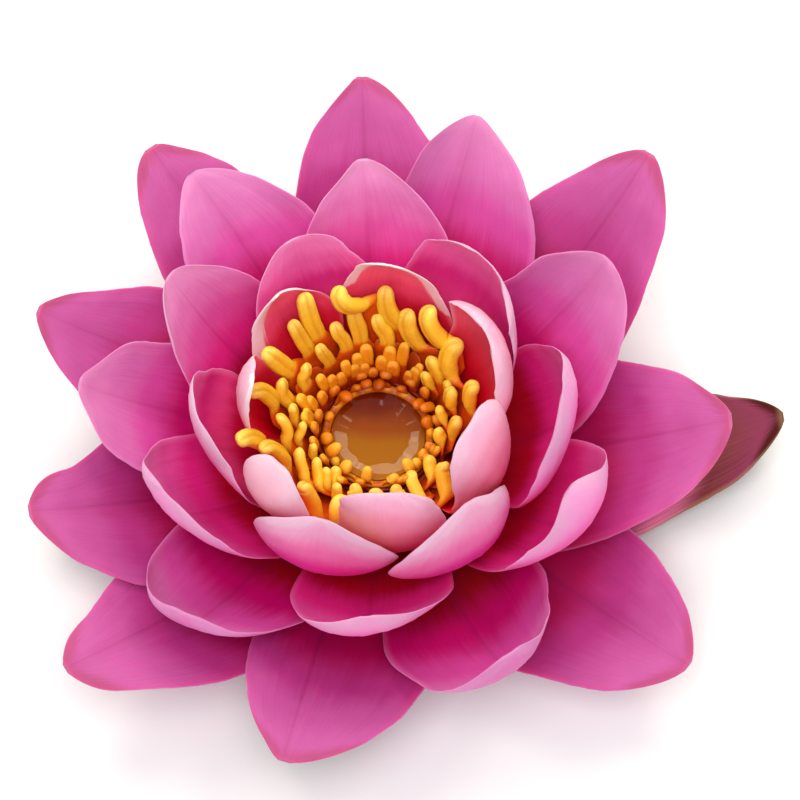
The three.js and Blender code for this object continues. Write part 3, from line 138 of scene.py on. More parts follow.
MIDDLE = [
    ([(-2.16, 10.74, 16.9), (-3.07, 15.26, 25.66), (-3.87, 16.81, 28.52), (-4.26, 18.37, 30.46)], 2.74, 1.75, {}),
    ([(1.18, 10.89, 16.9), (1.61, 14.8, 24.67), (0.33, 16.14, 27.36), (-0.48, 17.5, 29.1)], 2.60, 1.75, {}),
    ([(-4.04, 10.18, 16.9), (-5.52, 13.91, 24.69), (-6.72, 14.73, 27.2), (-7.45, 15.97, 29.22)], 2.41, 1.75, {}),
    ([(-6.48, 8.82, 16.9), (-8.25, 11.22, 23.01), (-9.43, 11.76, 25.88), (-10.13, 12.51, 27.69)], 2.22, 1.75, {}),
    ([(-9.42, 5.59, 16.9), (-12.56, 7.46, 23.53), (-12.2, 8.38, 25.51), (-12.18, 9.38, 26.97)], 2.35, 1.75, {}),
    ([(-10.62, 2.67, 16.9), (-15.68, 3.94, 24.92), (-16.16, 4.97, 27.35), (-16.05, 5.86, 28.69)], 2.54, 1.75, {}),
    ([(-10.61, -2.7, 16.9), (-15.21, -3.87, 23.37), (-15.16, -2.48, 25.67), (-15.82, -1.4, 27.44), (-17.04, -0.95, 28.67)], 2.41, 1.93, {}),
    ([(-8.2, -7.26, 16.9), (-11.88, -10.51, 22.64), (-12.54, -8.96, 23.84), (-13.14, -7.15, 25.08), (-13.19, -5.51, 25.9)], 2.47, 2.01, {}),
    ([(-10.75, -2.08, 16.9), (-13.46, -2.6, 21.65), (-12.89, -1.31, 23.13), (-12.53, -0.11, 24.13)], 1.96, 1.93, {}),
    ([(-10.93, 0.69, 16.9), (-13.83, 0.87, 22.08), (-14.23, 1.44, 24.61), (-14.55, 2.06, 26.29)], 2.09, 1.75, {}),
    ([(-6.54, -8.78, 16.9), (-7.62, -10.24, 20.42), (-7.21, -8.66, 21.21), (-7.13, -7.23, 21.76)], 2.15, 2.01, {}),
    ([(-7.13, -8.31, 16.9), (-9.74, -11.36, 21.86), (-10.06, -9.64, 22.61), (-10.28, -7.89, 23.29), (-10.33, -6.4, 23.75)], 1.96, 2.28, {}),
    ([(-9.89, -4.7, 16.9), (-10.9, -5.18, 20.08), (-11.01, -4.55, 21.43), (-10.8, -3.57, 22.98)], 1.82, 1.75, {}),
    ([(8.29, 7.15, 16.9), (10.27, 8.85, 22.33), (9.42, 10.14, 24.5), (8.73, 11.2, 25.8)], 2.87, 1.84, {}),
    ([(10.04, 4.36, 16.9), (12.16, 5.27, 21.71), (11.84, 6.12, 23.91), (11.82, 6.94, 25.31)], 1.90, 1.75, {}),
    ([(8.32, 7.12, 16.9), (8.94, 7.65, 19.92), (8.36, 8.37, 22.07), (7.86, 9.17, 23.67)], 2.22, 1.75, {}),
    ([(7.66, -7.82, 16.9), (9.35, -9.54, 20.87), (8.76, -7.07, 21.58), (8.88, -5.34, 21.96)], 2.35, 2.28, {}),
    ([(5.11, -9.68, 16.9), (7.42, -14.07, 22.19), (6.5, -11.98, 21.97), (5.62, -9.6, 21.76), (6.01, -8.06, 21.65)], 2.15, 2.45, {}),
    ([(-0.06, -10.95, 16.9), (-0.08, -13.86, 20.88), (-0.34, -12.79, 22.6), (-0.34, -11.96, 23.56)], 2.74, 1.93, {}),
    ([(-2.87, -10.57, 16.9), (-4.09, -15.09, 21.87), (-3.82, -13.75, 22.87), (-3.95, -12.26, 23.83), (-4.62, -11.75, 24.23)], 2.60, 2.10, {}),
    ([(2.94, -10.55, 16.9), (4.21, -15.1, 21.9), (3.81, -13.67, 22.64), (3.14, -12.34, 23.29), (3.67, -11.47, 23.65)], 2.60, 2.28, {}),
    ([(10.87, 1.32, 16.9), (11.48, 1.4, 19.7), (10.65, 2.48, 21.36), (10.23, 3.51, 22.41)], 2.28, 1.93, {}),
    ([(10.7, -2.31, 16.9), (11.18, -2.41, 19.7), (10.35, -1.38, 21.14), (10.48, -0.3, 22.08)], 2.41, 2.01, {}),
    ([(10.89, -1.14, 16.9), (12.45, -1.3, 20.59), (12.88, -0.69, 23.05), (13.65, 0.01, 25.25)], 2.74, 2.01, {}),
    ([(-4.91, -9.79, 16.9), (-6.65, -13.26, 21.55), (-6.89, -12.36, 23.72), (-6.8, -11.57, 25.02)], 1.82, 2.10, {}),
    ([(-6.86, -8.53, 16.9), (-8.68, -10.79, 21.12), (-8.72, -9.33, 22.55), (-8.66, -8.1, 23.46)], 1.96, 2.28, {}),
]
INNER = [
    ([(-1.53, 9.88, 16.9), (-1.85, 11.93, 21.9), (-2.11, 13.61, 25.36)], 2.20, 1.25, {}),
    ([(-2.87, 9.58, 16.9), (-3.31, 11.04, 21.4), (-3.67, 12.23, 24.45)], 2.00, 1.25, {}),
    ([(1.59, 9.87, 16.9), (1.9, 11.78, 21.77), (2.15, 13.34, 25.12)], 2.20, 1.25, {}),
    ([(-4.61, 8.87, 16.9), (-5.23, 10.06, 21.24), (-5.73, 11.03, 24.15)], 1.83, 1.25, {}),
    ([(-3.52, 9.36, 16.9), (-3.8, 10.09, 20.73), (-4.02, 10.68, 23.23)], 1.70, 1.25, {}),
    ([(-2.07, 9.78, 16.9), (-2.2, 10.41, 20.61), (-2.31, 10.93, 23.01)], 1.77, 1.25, {}),
    ([(-0.87, 9.96, 16.9), (-0.9, 10.26, 20.1), (-0.89, 10.24, 22.21)], 1.77, 1.25, {}),
    ([(0.52, 9.99, 16.9), (0.58, 11.13, 21.06), (0.63, 12.06, 23.83)], 2.00, 1.25, {}),
    ([(2.29, 9.73, 16.9), (2.49, 10.56, 20.79), (2.65, 11.23, 23.34)], 2.43, 1.25, {}),
    ([(3.24, 9.46, 16.9), (4.03, 11.77, 22.23), (4.67, 13.65, 25.95)], 1.95, 1.25, {}),
    ([(5.53, 8.33, 16.9), (6.11, 9.2, 20.97), (6.58, 9.91, 23.67)], 1.83, 1.25, {}),
    ([(4.9, 8.71, 16.9), (5.16, 9.17, 20.5), (5.37, 9.53, 22.81)], 1.70, 1.25, {}),
    ([(7.73, 6.34, 16.9), (7.92, 6.5, 20.25), (8.08, 6.62, 22.36)], 1.77, 1.25, {}),
    ([(5.53, 8.33, 16.9), (5.7, 8.58, 20.1), (5.37, 8.08, 21.7)], 1.83, 1.25, {}),
    ([(9.87, 1.58, 16.9), (10.17, 1.62, 20.1), (9.41, 1.5, 21.6)], 1.83, 1.25, {}),
    ([(-7.78, 6.28, 16.9), (-9.06, 7.32, 21.51), (-10.1, 8.16, 24.65)], 1.83, 1.25, {}),
    ([(-6.9, 7.24, 16.9), (-7.55, 7.93, 20.89), (-8.09, 8.49, 23.52)], 1.88, 1.25, {}),
    ([(-5.78, 8.16, 16.9), (-6.16, 8.7, 20.63), (-6.47, 9.14, 23.04)], 1.83, 1.25, {}),
    ([(-9.61, 2.78, 16.9), (-11.78, 3.41, 22.07), (-13.56, 3.92, 25.66)], 2.00, 1.25, {}),
    ([(-9.43, 3.31, 16.9), (-10.8, 3.79, 21.34), (-11.92, 4.19, 24.33)], 1.77, 1.25, {}),
    ([(-8.7, 4.92, 16.9), (-9.33, 5.28, 20.68), (-9.84, 5.56, 23.13)], 1.88, 1.25, {}),
    ([(-7.25, 6.89, 16.9), (-7.47, 7.09, 20.1), (-7.28, 6.92, 22.0)], 2.00, 1.25, {}),
    ([(-9.97, 0.83, 16.9), (-11.5, 0.95, 21.42), (-12.75, 1.06, 24.47)], 1.88, 1.25, {}),
    ([(-9.75, 2.23, 16.9), (-10.02, 2.29, 20.28), (-10.24, 2.34, 22.41)], 1.88, 1.25, {}),
    ([(-10.0, -0.06, 16.9), (-10.6, -0.07, 20.58), (-11.1, -0.07, 22.95)], 1.77, 1.25, {}),
    ([(-2.76, 9.61, 16.9), (-2.84, 9.9, 20.1), (-2.67, 9.29, 21.65)], 2.00, 1.25, {}),
    ([(1.39, 9.9, 16.9), (1.43, 10.2, 20.1), (1.29, 9.16, 21.6)], 2.13, 1.25, {}),
    ([(9.12, 4.1, 16.9), (9.39, 4.23, 20.1), (7.25, 3.26, 21.6)], 1.65, 1.25, {}),
    ([(9.3, -3.67, 16.9), (9.58, -3.78, 20.1), (8.03, -3.17, 21.6)], 1.65, 1.25, {}),
    ([(9.21, -3.9, 16.9), (9.48, -4.02, 20.1), (8.97, -3.8, 21.73)], 1.58, 1.25, {}),
    ([(8.3, -5.57, 16.9), (8.55, -5.74, 20.1), (7.75, -5.2, 21.6)], 1.70, 1.25, {}),
    ([(9.11, -4.12, 16.9), (9.69, -4.38, 20.6), (10.16, -4.59, 22.99)], 1.52, 1.25, {}),
    ([(4.42, -8.97, 16.9), (4.61, -9.35, 20.41), (4.76, -9.65, 22.64)], 1.70, 1.25, {}),
    ([(3.6, -9.33, 16.9), (3.72, -9.63, 20.33), (3.82, -9.88, 22.49)], 1.58, 1.25, {}),
    ([(-2.83, -9.59, 16.9), (-2.94, -9.96, 20.38), (-3.03, -10.26, 22.59)], 1.58, 1.25, {}),
    ([(-5.27, -8.5, 16.9), (-5.94, -9.59, 21.19), (-6.5, -10.49, 24.06)], 1.65, 1.25, {}),
    ([(-8.4, -5.42, 16.9), (-8.93, -5.76, 20.59), (-9.36, -6.03, 22.98)], 1.52, 1.25, {}),
    ([(-9.66, -2.6, 16.9), (-10.53, -2.84, 20.85), (-11.25, -3.03, 23.45)], 1.58, 1.25, {}),
    ([(-9.89, 1.46, 16.9), (-11.32, 1.68, 21.33), (-12.49, 1.85, 24.32)], 1.58, 1.25, {}),
    ([(5.74, 8.19, 16.9), (6.57, 9.38, 21.34), (7.26, 10.36, 24.34)], 1.52, 1.25, {}),
]
D = math.pi / 180
rng = np.random.default_rng(7)


def noise1(x, seed, octaves=3):
    """Smooth repeatable 1-D noise, about -1..1."""
    g = np.random.default_rng(seed)
    out = np.zeros_like(x)
    for o in range(octaves):
        tab = g.uniform(-1, 1, 64)
        f = x * (2 ** o) + 13.7
        i = np.floor(f).astype(int)
        t = f - i
        t = t * t * (3 - 2 * t)
        out += (tab[i % 64] * (1 - t) + tab[(i + 1) % 64] * t) / (1.7 ** o)
    return out / 1.8


# ------------------------------------------------------------------ materials
def nt(mat):
    mat.use_nodes = True
    t = mat.node_tree
    t.nodes.clear()
    return t


class G:
    """Short hand for building node trees."""

    def __init__(self, mat):
        self.t = nt(mat)

    def n(self, kind, **kw):
        x = self.t.nodes.new(kind)
        for k, v in kw.items():
            setattr(x, k, v)
        return x

    def link(self, a, b):
        self.t.links.new(a, b)

    def attr(self, name):
        return self.n("ShaderNodeAttribute", attribute_type="GEOMETRY", attribute_name=name).outputs["Fac"]

    def math(self, op, a, b=None, c=None, clamp=False):
        x = self.n("ShaderNodeMath", operation=op, use_clamp=clamp)
        for i, v in enumerate((a, b, c)):
            if v is None:
                continue
            if isinstance(v, (int, float)):
                x.inputs[i].default_value = v
            else:
                self.link(v, x.inputs[i])
        return x.outputs[0]

    def ramp(self, fac, stops, interp="EASE"):
        x = self.n("ShaderNodeValToRGB")
        r = x.color_ramp
        r.interpolation = interp
        while len(r.elements) > 1:
            r.elements.remove(r.elements[-1])
        r.elements[0].position = stops[0][0]
        r.elements[0].color = (*lin(stops[0][1]), 1)
        for p, c in stops[1:]:
            e = r.elements.new(p)
            e.color = (*lin(c), 1)
        if fac is not None:
            self.link(fac, x.inputs[0])
        return x.outputs[0]

    def mix(self, fac, a, b, blend="MIX"):
        x = self.n("ShaderNodeMix", data_type="RGBA", blend_type=blend)
        if isinstance(fac, (int, float)):
            x.inputs[0].default_value = fac
        else:
            self.link(fac, x.inputs[0])
        for i, v in ((6, a), (7, b)):
            if isinstance(v, tuple):
                x.inputs[i].default_value = (*v, 1)
            else:
                self.link(v, x.inputs[i])
        return x.outputs[2]

    def vec(self, x, y, z=0.0):
        c = self.n("ShaderNodeCombineXYZ")
        for i, v in enumerate((x, y, z)):
            if isinstance(v, (int, float)):
                c.inputs[i].default_value = v
            else:
                self.link(v, c.inputs[i])
        return c.outputs[0]

    def noise(self, vec, scale, detail=3.0, rough=0.55, dist=0.0):
        x = self.n("ShaderNodeTexNoise")
        x.inputs["Scale"].default_value = scale
        x.inputs["Detail"].default_value = detail
        x.inputs["Roughness"].default_value = rough
        x.inputs["Distortion"].default_value = dist
        if vec is not None:
            self.link(vec, x.inputs["Vector"])
        return x.outputs["Fac"]

    def maprange(self, v, a, b, c, d, smooth=True):
        x = self.n("ShaderNodeMapRange", interpolation_type="SMOOTHSTEP" if smooth else "LINEAR")
        self.link(v, x.inputs[0])
        for i, k in enumerate((a, b, c, d)):
            x.inputs[i + 1].default_value = k
        return x.outputs[0]


def lin(c):
    """sRGB 0..255 to linear."""
    out = []
    for v in c:
        v = v / 255
        out.append(v / 12.92 if v <= 0.04045 else ((v + 0.055) / 1.055) ** 2.4)
    return tuple(out)


def petal_material(name, inner, outer, foot, sss=0.45, mid=0.5, rim=(232, 146, 194), rough=0.55, streak=(0.965, 1.03), rimw=0.28):
    mat = bpy.data.materials.new(name)
    g = G(mat)
    s, v, face, rnd = g.attr("along"), g.attr("across"), g.attr("outer_face"), g.attr("pick")
    av = g.math("ABSOLUTE", v)
    # soft streaks that run lengthwise and fan out with the petal
    sv = g.vec(g.math("MULTIPLY_ADD", v, 9.0, g.math("MULTIPLY", rnd, 40.0)), g.math("MULTIPLY", s, 1.3), rnd)
    st1 = g.noise(sv, 1.6, 4.0, 0.6)
    sv2 = g.vec(g.math("MULTIPLY_ADD", v, 34.0, g.math("MULTIPLY", rnd, 71.0)), g.math("MULTIPLY", s, 2.2), rnd)
    st2 = g.noise(sv2, 1.5, 2.0, 0.5)
    ob = g.n("ShaderNodeTexCoord").outputs["Object"]
    blot = g.noise(ob, 75.0, 3.0, 0.6)
    fine = g.noise(ob, 1400.0, 2.0, 0.6)
    # the inner face: dark foot, rich middle, paler towards the tip and edges
    wob = g.math("MULTIPLY_ADD", g.math("SUBTRACT", blot, 0.5), 0.05, g.math("MULTIPLY_ADD", g.math("SUBTRACT", st1, 0.5), 0.08, s))
    pos = g.math("MULTIPLY_ADD", g.math("POWER", av, 2.0), 0.10, wob)
    cin = g.ramp(pos, inner)
    wob2 = g.math("MULTIPLY_ADD", g.math("SUBTRACT", blot, 0.5), 0.10, g.math("MULTIPLY_ADD", g.math("SUBTRACT", st1, 0.5), 0.05, s))
    cout = g.ramp(g.math("MULTIPLY_ADD", g.math("POWER", av, 2.0), 0.18, wob2), outer)
    amount = g.maprange(st2, 0.25, 0.75, streak[0], streak[1])
    blots = g.maprange(blot, 0.3, 0.72, 0.93, 1.06)
    val = g.math("MULTIPLY", amount, blots)
    grey = g.n("ShaderNodeCombineColor")
    for i in range(3):
        g.link(val if i != 1 else g.math("MULTIPLY_ADD", g.math("SUBTRACT", val, 1.0), 1.5, 1.0), grey.inputs[i])
    cin = g.mix(1.0, cin, grey.outputs[0], "MULTIPLY")
    # midrib: a slightly darker line inside, fading towards the tip
    rib = g.maprange(g.math("MULTIPLY_ADD", g.math("SUBTRACT", st1, 0.5), 0.03, av), 0.0, 0.07, 0.75, 0.0)
    halo = g.maprange(av, 0.0, 0.3, 0.35, 0.0)
    rib = g.math("MULTIPLY", g.math("MAXIMUM", rib, halo), g.maprange(s, 0.35, 1.0, 1.0, 0.3))
    cin = g.mix(g.math("MULTIPLY", rib, mid), cin, lin(foot))
    cin = g.mix(g.attr("blush"), cin, lin((222, 122, 142)))
    cout = g.mix(g.attr("blush"), cout, lin((252, 216, 222)))
    soft = g.mix(0.45, grey.outputs[0], (1, 1, 1))
    cout = g.mix(1.0, cout, soft, "MULTIPLY")
    cout = g.mix(g.math("MULTIPLY", g.attr("peach"), 0.6), cout, lin((255, 190, 128)))
    orib = g.math("MULTIPLY", g.maprange(av, 0.0, 0.16, 0.3, 0.0), g.maprange(s, 0.2, 0.95, 1.0, 0.0))
    cout = g.mix(orib, cout, lin(inner[len(inner) // 2][1]))
    col = g.mix(face, cin, cout)
    # thin pale rim where the two faces meet
    edge = g.math("MULTIPLY", g.maprange(av, 0.90, 1.0, 0.0, 1.0), g.maprange(s, 0.25, 0.6, 0.0, rimw))
    tip = g.maprange(s, 0.97, 0.995, 0.0, rimw)
    col = g.mix(g.math("MAXIMUM", edge, tip), col, lin(rim))
    # broad pale folded lip on some margins
    lip = g.maprange(g.math("MULTIPLY_ADD", g.math("SUBTRACT", st1, 0.5), 0.5, g.attr("lip")), 0.3, 0.56, 0.0, 0.95)
    col = g.mix(lip, col, g.ramp(s, [(0.0, (240, 150, 170)), (0.7, (250, 206, 218)), (1.0, (255, 236, 240))]))
    b = g.n("ShaderNodeBsdfPrincipled")
    g.link(col, b.inputs["Base Color"])
    g.link(g.maprange(st2, 0.2, 0.8, rough - 0.07, rough + 0.07), b.inputs["Roughness"])
    b.inputs["Subsurface Weight"].default_value = sss
    b.inputs["Subsurface Radius"].default_value = (1.0, 0.25, 0.42)
    b.inputs["Subsurface Scale"].default_value = 0.0016
    b.inputs["Specular IOR Level"].default_value = 0.16
    bump = g.n("ShaderNodeBump")
    bump.inputs["Strength"].default_value = 0.35
    bump.inputs["Distance"].default_value = 0.00018
    h = g.math("ADD", g.math("MULTIPLY", st2, 0.8), g.math("MULTIPLY", fine, 0.25))
    g.link(h, bump.inputs["Height"])
    g.link(bump.outputs[0], b.inputs["Normal"])
    o = g.n("ShaderNodeOutputMaterial")
    g.link(b.outputs[0], o.inputs[0])
    return mat


# colours from the foot to the tip of each row: inner face, outer face
RAMPS = {
    "inner_A": [(0, (119, 2, 30)), (0.22, (161, 2, 49)), (0.38, (197, 2, 78)), (0.53, (168, 2, 82)), (0.68, (173, 47, 126)), (0.81, (182, 77, 148)), (0.94, (186, 89, 156)), (1, (174, 78, 128))],
    "outer_A": [(0, (150, 80, 90)), (0.22, (190, 90, 140)), (0.38, (200, 100, 150)), (0.53, (206, 110, 160)), (0.68, (210, 120, 166)), (0.81, (214, 130, 174)), (0.94, (220, 140, 180)), (1, (222, 146, 184))],
    "inner_B": [(0, (100, 2, 5)), (0.22, (135, 2, 18)), (0.38, (152, 2, 23)), (0.53, (190, 2, 105)), (0.68, (202, 70, 156)), (0.81, (200, 105, 170)), (0.94, (204, 120, 178)), (1, (210, 134, 184))],
    "outer_B": [(0, (145, 67, 86)), (0.22, (189, 80, 134)), (0.38, (198, 89, 148)), (0.53, (204, 97, 157)), (0.68, (208, 103, 165)), (0.81, (216, 109, 172)), (0.94, (216, 116, 179)), (1, (211, 134, 185))],
    "inner_C": [(0, (118, 2, 2)), (0.22, (148, 2, 2)), (0.38, (179, 2, 39)), (0.53, (218, 35, 134)), (0.68, (216, 80, 160)), (0.81, (217, 114, 178)), (0.94, (231, 147, 201)), (1, (223, 151, 192))],
    "outer_C": [(0, (166, 15, 55)), (0.22, (211, 19, 90)), (0.38, (219, 20, 101)), (0.53, (224, 21, 107)), (0.68, (229, 7, 92)), (0.81, (250, 110, 185)), (0.94, (236, 151, 202)), (1, (224, 160, 197))],
    "inner_D": [(0, (132, 2, 10)), (0.22, (171, 2, 30)), (0.38, (194, 2, 65)), (0.53, (226, 65, 139)), (0.68, (208, 44, 132)), (0.81, (221, 90, 161)), (0.94, (234, 121, 183)), (1, (236, 138, 192))],
    "outer_D": [(0, (197, 71, 102)), (0.22, (221, 79, 131)), (0.38, (226, 71, 148)), (0.53, (228, 68, 152)), (0.68, (235, 55, 156)), (0.81, (233, 111, 170)), (0.94, (229, 158, 192)), (1, (225, 178, 202))],
    "inner_E": [(0, (167, 2, 6)), (0.22, (192, 2, 15)), (0.38, (212, 2, 37)), (0.53, (214, 25, 62)), (0.68, (237, 73, 114)), (0.81, (252, 99, 136)), (0.94, (252, 123, 159)), (1, (252, 148, 182))],
    "outer_E": [(0, (190, 20, 60)), (0.22, (205, 30, 80)), (0.38, (215, 45, 100)), (0.53, (226, 72, 124)), (0.68, (240, 114, 152)), (0.81, (245, 146, 177)), (0.94, (247, 173, 201)), (1, (248, 186, 210))],
    "inner_S": [(0, (70, 20, 16)), (0.22, (89, 23, 28)), (0.38, (101, 23, 37)), (0.53, (92, 11, 26)), (0.68, (252, 137, 182)), (0.81, (127, 56, 61)), (0.94, (137, 53, 82)), (1, (72, 4, 2))],
    "outer_S": [(0, (92, 84, 36)), (0.22, (104, 86, 42)), (0.38, (112, 84, 44)), (0.53, (118, 80, 50)), (0.68, (124, 76, 56)), (0.81, (122, 70, 54)), (0.94, (110, 62, 40)), (1, (100, 54, 30))],
}
MATS = {
    "A": petal_material("petal_outer_rows", RAMPS["inner_A"], RAMPS["outer_A"], (132, 6, 80), mid=0.85, rim=(204, 74, 124)),
    "B": petal_material("petal_second_rows", RAMPS["inner_B"], RAMPS["outer_B"], (140, 6, 76), mid=0.6),
    "C": petal_material("petal_third_rows", RAMPS["inner_C"], RAMPS["outer_C"], (140, 4, 66), mid=0.4),
    "D": petal_material("petal_fourth_rows", RAMPS["inner_D"], RAMPS["outer_D"], (150, 4, 40), mid=0.3, rim=(240, 178, 208)),
    "E": petal_material("petal_inmost_rows", RAMPS["inner_E"], RAMPS["outer_E"], (170, 10, 30), mid=0.3, rim=(250, 212, 222)),
    "S": petal_material("sepal_skin", RAMPS["inner_S"], RAMPS["outer_S"], (96, 40, 40), mid=0.25, sss=0.04, rim=(196, 160, 120), streak=(0.8, 1.12)),
}


def stamen_material(name, foot, strap, anther, groove, tip, low=0.0):
    mat = bpy.data.materials.new(name)
    g = G(mat)
    u, an, gr, rnd = g.attr("along"), g.attr("anther"), g.attr("groove"), g.attr("pick")
    ob = g.n("ShaderNodeTexCoord").outputs["Object"]
    nz = g.noise(ob, 420.0, 3.0, 0.6)
    gr2 = g.noise(ob, 2600.0, 2.0, 0.7)
    pos = g.math("MULTIPLY_ADD", g.math("SUBTRACT", nz, 0.5), 0.2, u)
    col = g.ramp(pos, [(0.0, foot), (0.28, tuple((a + b) // 2 for a, b in zip(foot, strap))), (0.55, strap), (0.9, strap)])
    acol = g.ramp(pos, [(0.45, anther), (0.8, anther), (1.0, tip)])
    acol = g.mix(g.math("MULTIPLY", gr, 0.42), acol, lin(groove))
    if low:
        # the short ones near the pool are deeper orange
        acol = g.mix(g.maprange(rnd, 0.0, 1.0, low, 0.0), acol, lin(strap))
        # and deeper still on the far side of the pool: painted shade, where the flower's own shade falls on the far
        # buds
        xyz = g.n("ShaderNodeSeparateXYZ")
        g.link(ob, xyz.inputs[0])
        acol = g.mix(g.maprange(xyz.outputs[1], -0.003, 0.007, 0.0, 0.22), acol, lin(strap))
    col = g.mix(an, col, acol)
    val = g.math("MULTIPLY", g.maprange(nz, 0.3, 0.7, 0.93, 1.05), g.maprange(gr2, 0.3, 0.7, 0.96, 1.04))
    val = g.math("MULTIPLY", val, g.maprange(rnd, 0.0, 1.0, 0.92, 1.06, False))
    grey = g.n("ShaderNodeCombineColor")
    for i in range(3):
        g.link(val, grey.inputs[i])
    col = g.mix(1.0, col, grey.outputs[0], "MULTIPLY")
    b = g.n("ShaderNodeBsdfPrincipled")
    g.link(col, b.inputs["Base Color"])
    g.link(g.maprange(nz, 0.2, 0.8, 0.38, 0.5), b.inputs["Roughness"])
    b.inputs["Subsurface Weight"].default_value = 0.4
    b.inputs["Subsurface Radius"].default_value = (1.0, 0.55, 0.1)
    b.inputs["Subsurface Scale"].default_value = 0.0012
    b.inputs["Specular IOR Level"].default_value = 0.35
    bump = g.n("ShaderNodeBump")
    bump.inputs["Strength"].default_value = 0.25
    bump.inputs["Distance"].default_value = 0.0001
    g.link(gr2, bump.inputs["Height"])
    g.link(bump.outputs[0], b.inputs["Normal"])
    o = g.n("ShaderNodeOutputMaterial")
    g.link(b.outputs[0], o.inputs[0])
    return mat


STAMEN = stamen_material("stamen", (138, 14, 0), (222, 88, 4), (254, 200, 50), (222, 126, 10), (255, 220, 94))
STAMEN_IN = stamen_material("stamen_inner_ring", (134, 18, 0), (204, 72, 2), (246, 174, 30), (222, 120, 10), (253, 200, 58), low=0.6)


def plain_material(name, stops, scale, attr=None, rough=0.6, sss=0.0, bumps=0.3, bscale=900.0, spec=0.35, weight=0.5):
    mat = bpy.data.materials.new(name)
    g = G(mat)
    ob = g.n("ShaderNodeTexCoord").outputs["Object"]
    nz = g.noise(ob, scale, 4.0, 0.6)
    fac = nz if attr is None else g.math("MULTIPLY_ADD", g.math("SUBTRACT", nz, 0.5), weight, g.attr(attr))
    col = g.ramp(fac, stops)
    b = g.n("ShaderNodeBsdfPrincipled")
    g.link(col, b.inputs["Base Color"])
    b.inputs["Roughness"].default_value = rough
    b.inputs["Subsurface Weight"].default_value = sss
    b.inputs["Subsurface Radius"].default_value = (1.0, 0.5, 0.15)
    b.inputs["Subsurface Scale"].default_value = 0.001
    b.inputs["Specular IOR Level"].default_value = spec
    bump = g.n("ShaderNodeBump")
    bump.inputs["Strength"].default_value = bumps
    bump.inputs["Distance"].default_value = 0.00015
    g.link(g.noise(ob, bscale, 3.0, 0.6), bump.inputs["Height"])
    g.link(bump.outputs[0], b.inputs["Normal"])
    o = g.n("ShaderNodeOutputMaterial")
    g.link(b.outputs[0], o.inputs[0])
    return mat


STEM = plain_material("stalk_skin", [(0.0, (92, 96, 40)), (0.45, (116, 104, 52)), (0.7, (140, 78, 58)), (1.0, (150, 96, 70))], 90.0, rough=0.5)
CROWN = plain_material("receptacle_crown", [(0.0, (150, 52, 8)), (0.5, (186, 74, 10)), (1.0, (206, 100, 16))], 300.0, rough=0.5)
CUT = plain_material("stalk_cut", [(0.0, (70, 78, 34)), (0.35, (168, 170, 104)), (0.7, (200, 200, 140)), (1.0, (120, 124, 62))], 300.0, attr="ring", rough=0.45, weight=0.25)
DISC = plain_material("stigma", [(0.0, (156, 60, 0)), (0.4, (166, 64, 0)), (0.6, (208, 104, 6)), (0.85, (240, 158, 26)), (1.0, (250, 190, 56))], 260.0, attr="height", rough=0.35, sss=0.12, weight=0.35)
# nectar: golden at the front, darker and redder towards the far side, a painted shade and a painted reflection of the
# dark wall behind it
POOL = plain_material("nectar", [(0.0, (164, 104, 0)), (0.4, (156, 96, 0)), (0.62, (140, 64, 0)), (0.85, (112, 32, 0)), (1.0, (102, 24, 0))], 120.0, attr="ring", rough=0.05, bumps=0.0, spec=0.25, weight=0.2)


# --------------------------------------------------------------------- meshes
def new_mesh(name, verts, faces, mats, attrs=None, smooth=True, face_mat=None):
    me = bpy.data.meshes.new(name)
    v = np.asarray(verts, dtype=float)
    v = (v - np.array([CX, CY, 0.0])) * MM
    me.from_pydata(v.tolist(), [], faces)
    for m in mats:
        me.materials.append(m)
    for key, val in (attrs or {}).items():
        a = me.attributes.new(key, "FLOAT", "POINT")
        a.data.foreach_set("value", np.asarray(val, dtype=np.float32))
    if face_mat is not None:
        me.polygons.foreach_set("material_index", np.asarray(face_mat, dtype=np.int32))
    me.polygons.foreach_set("use_smooth", [smooth] * len(me.polygons))
    me.update()
    ob = bpy.data.objects.new(name, me)
    bpy.context.scene.collection.objects.link(ob)
    return ob


def place(ob, slot, *nodes):
    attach(ob, "root")
    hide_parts(*nodes)


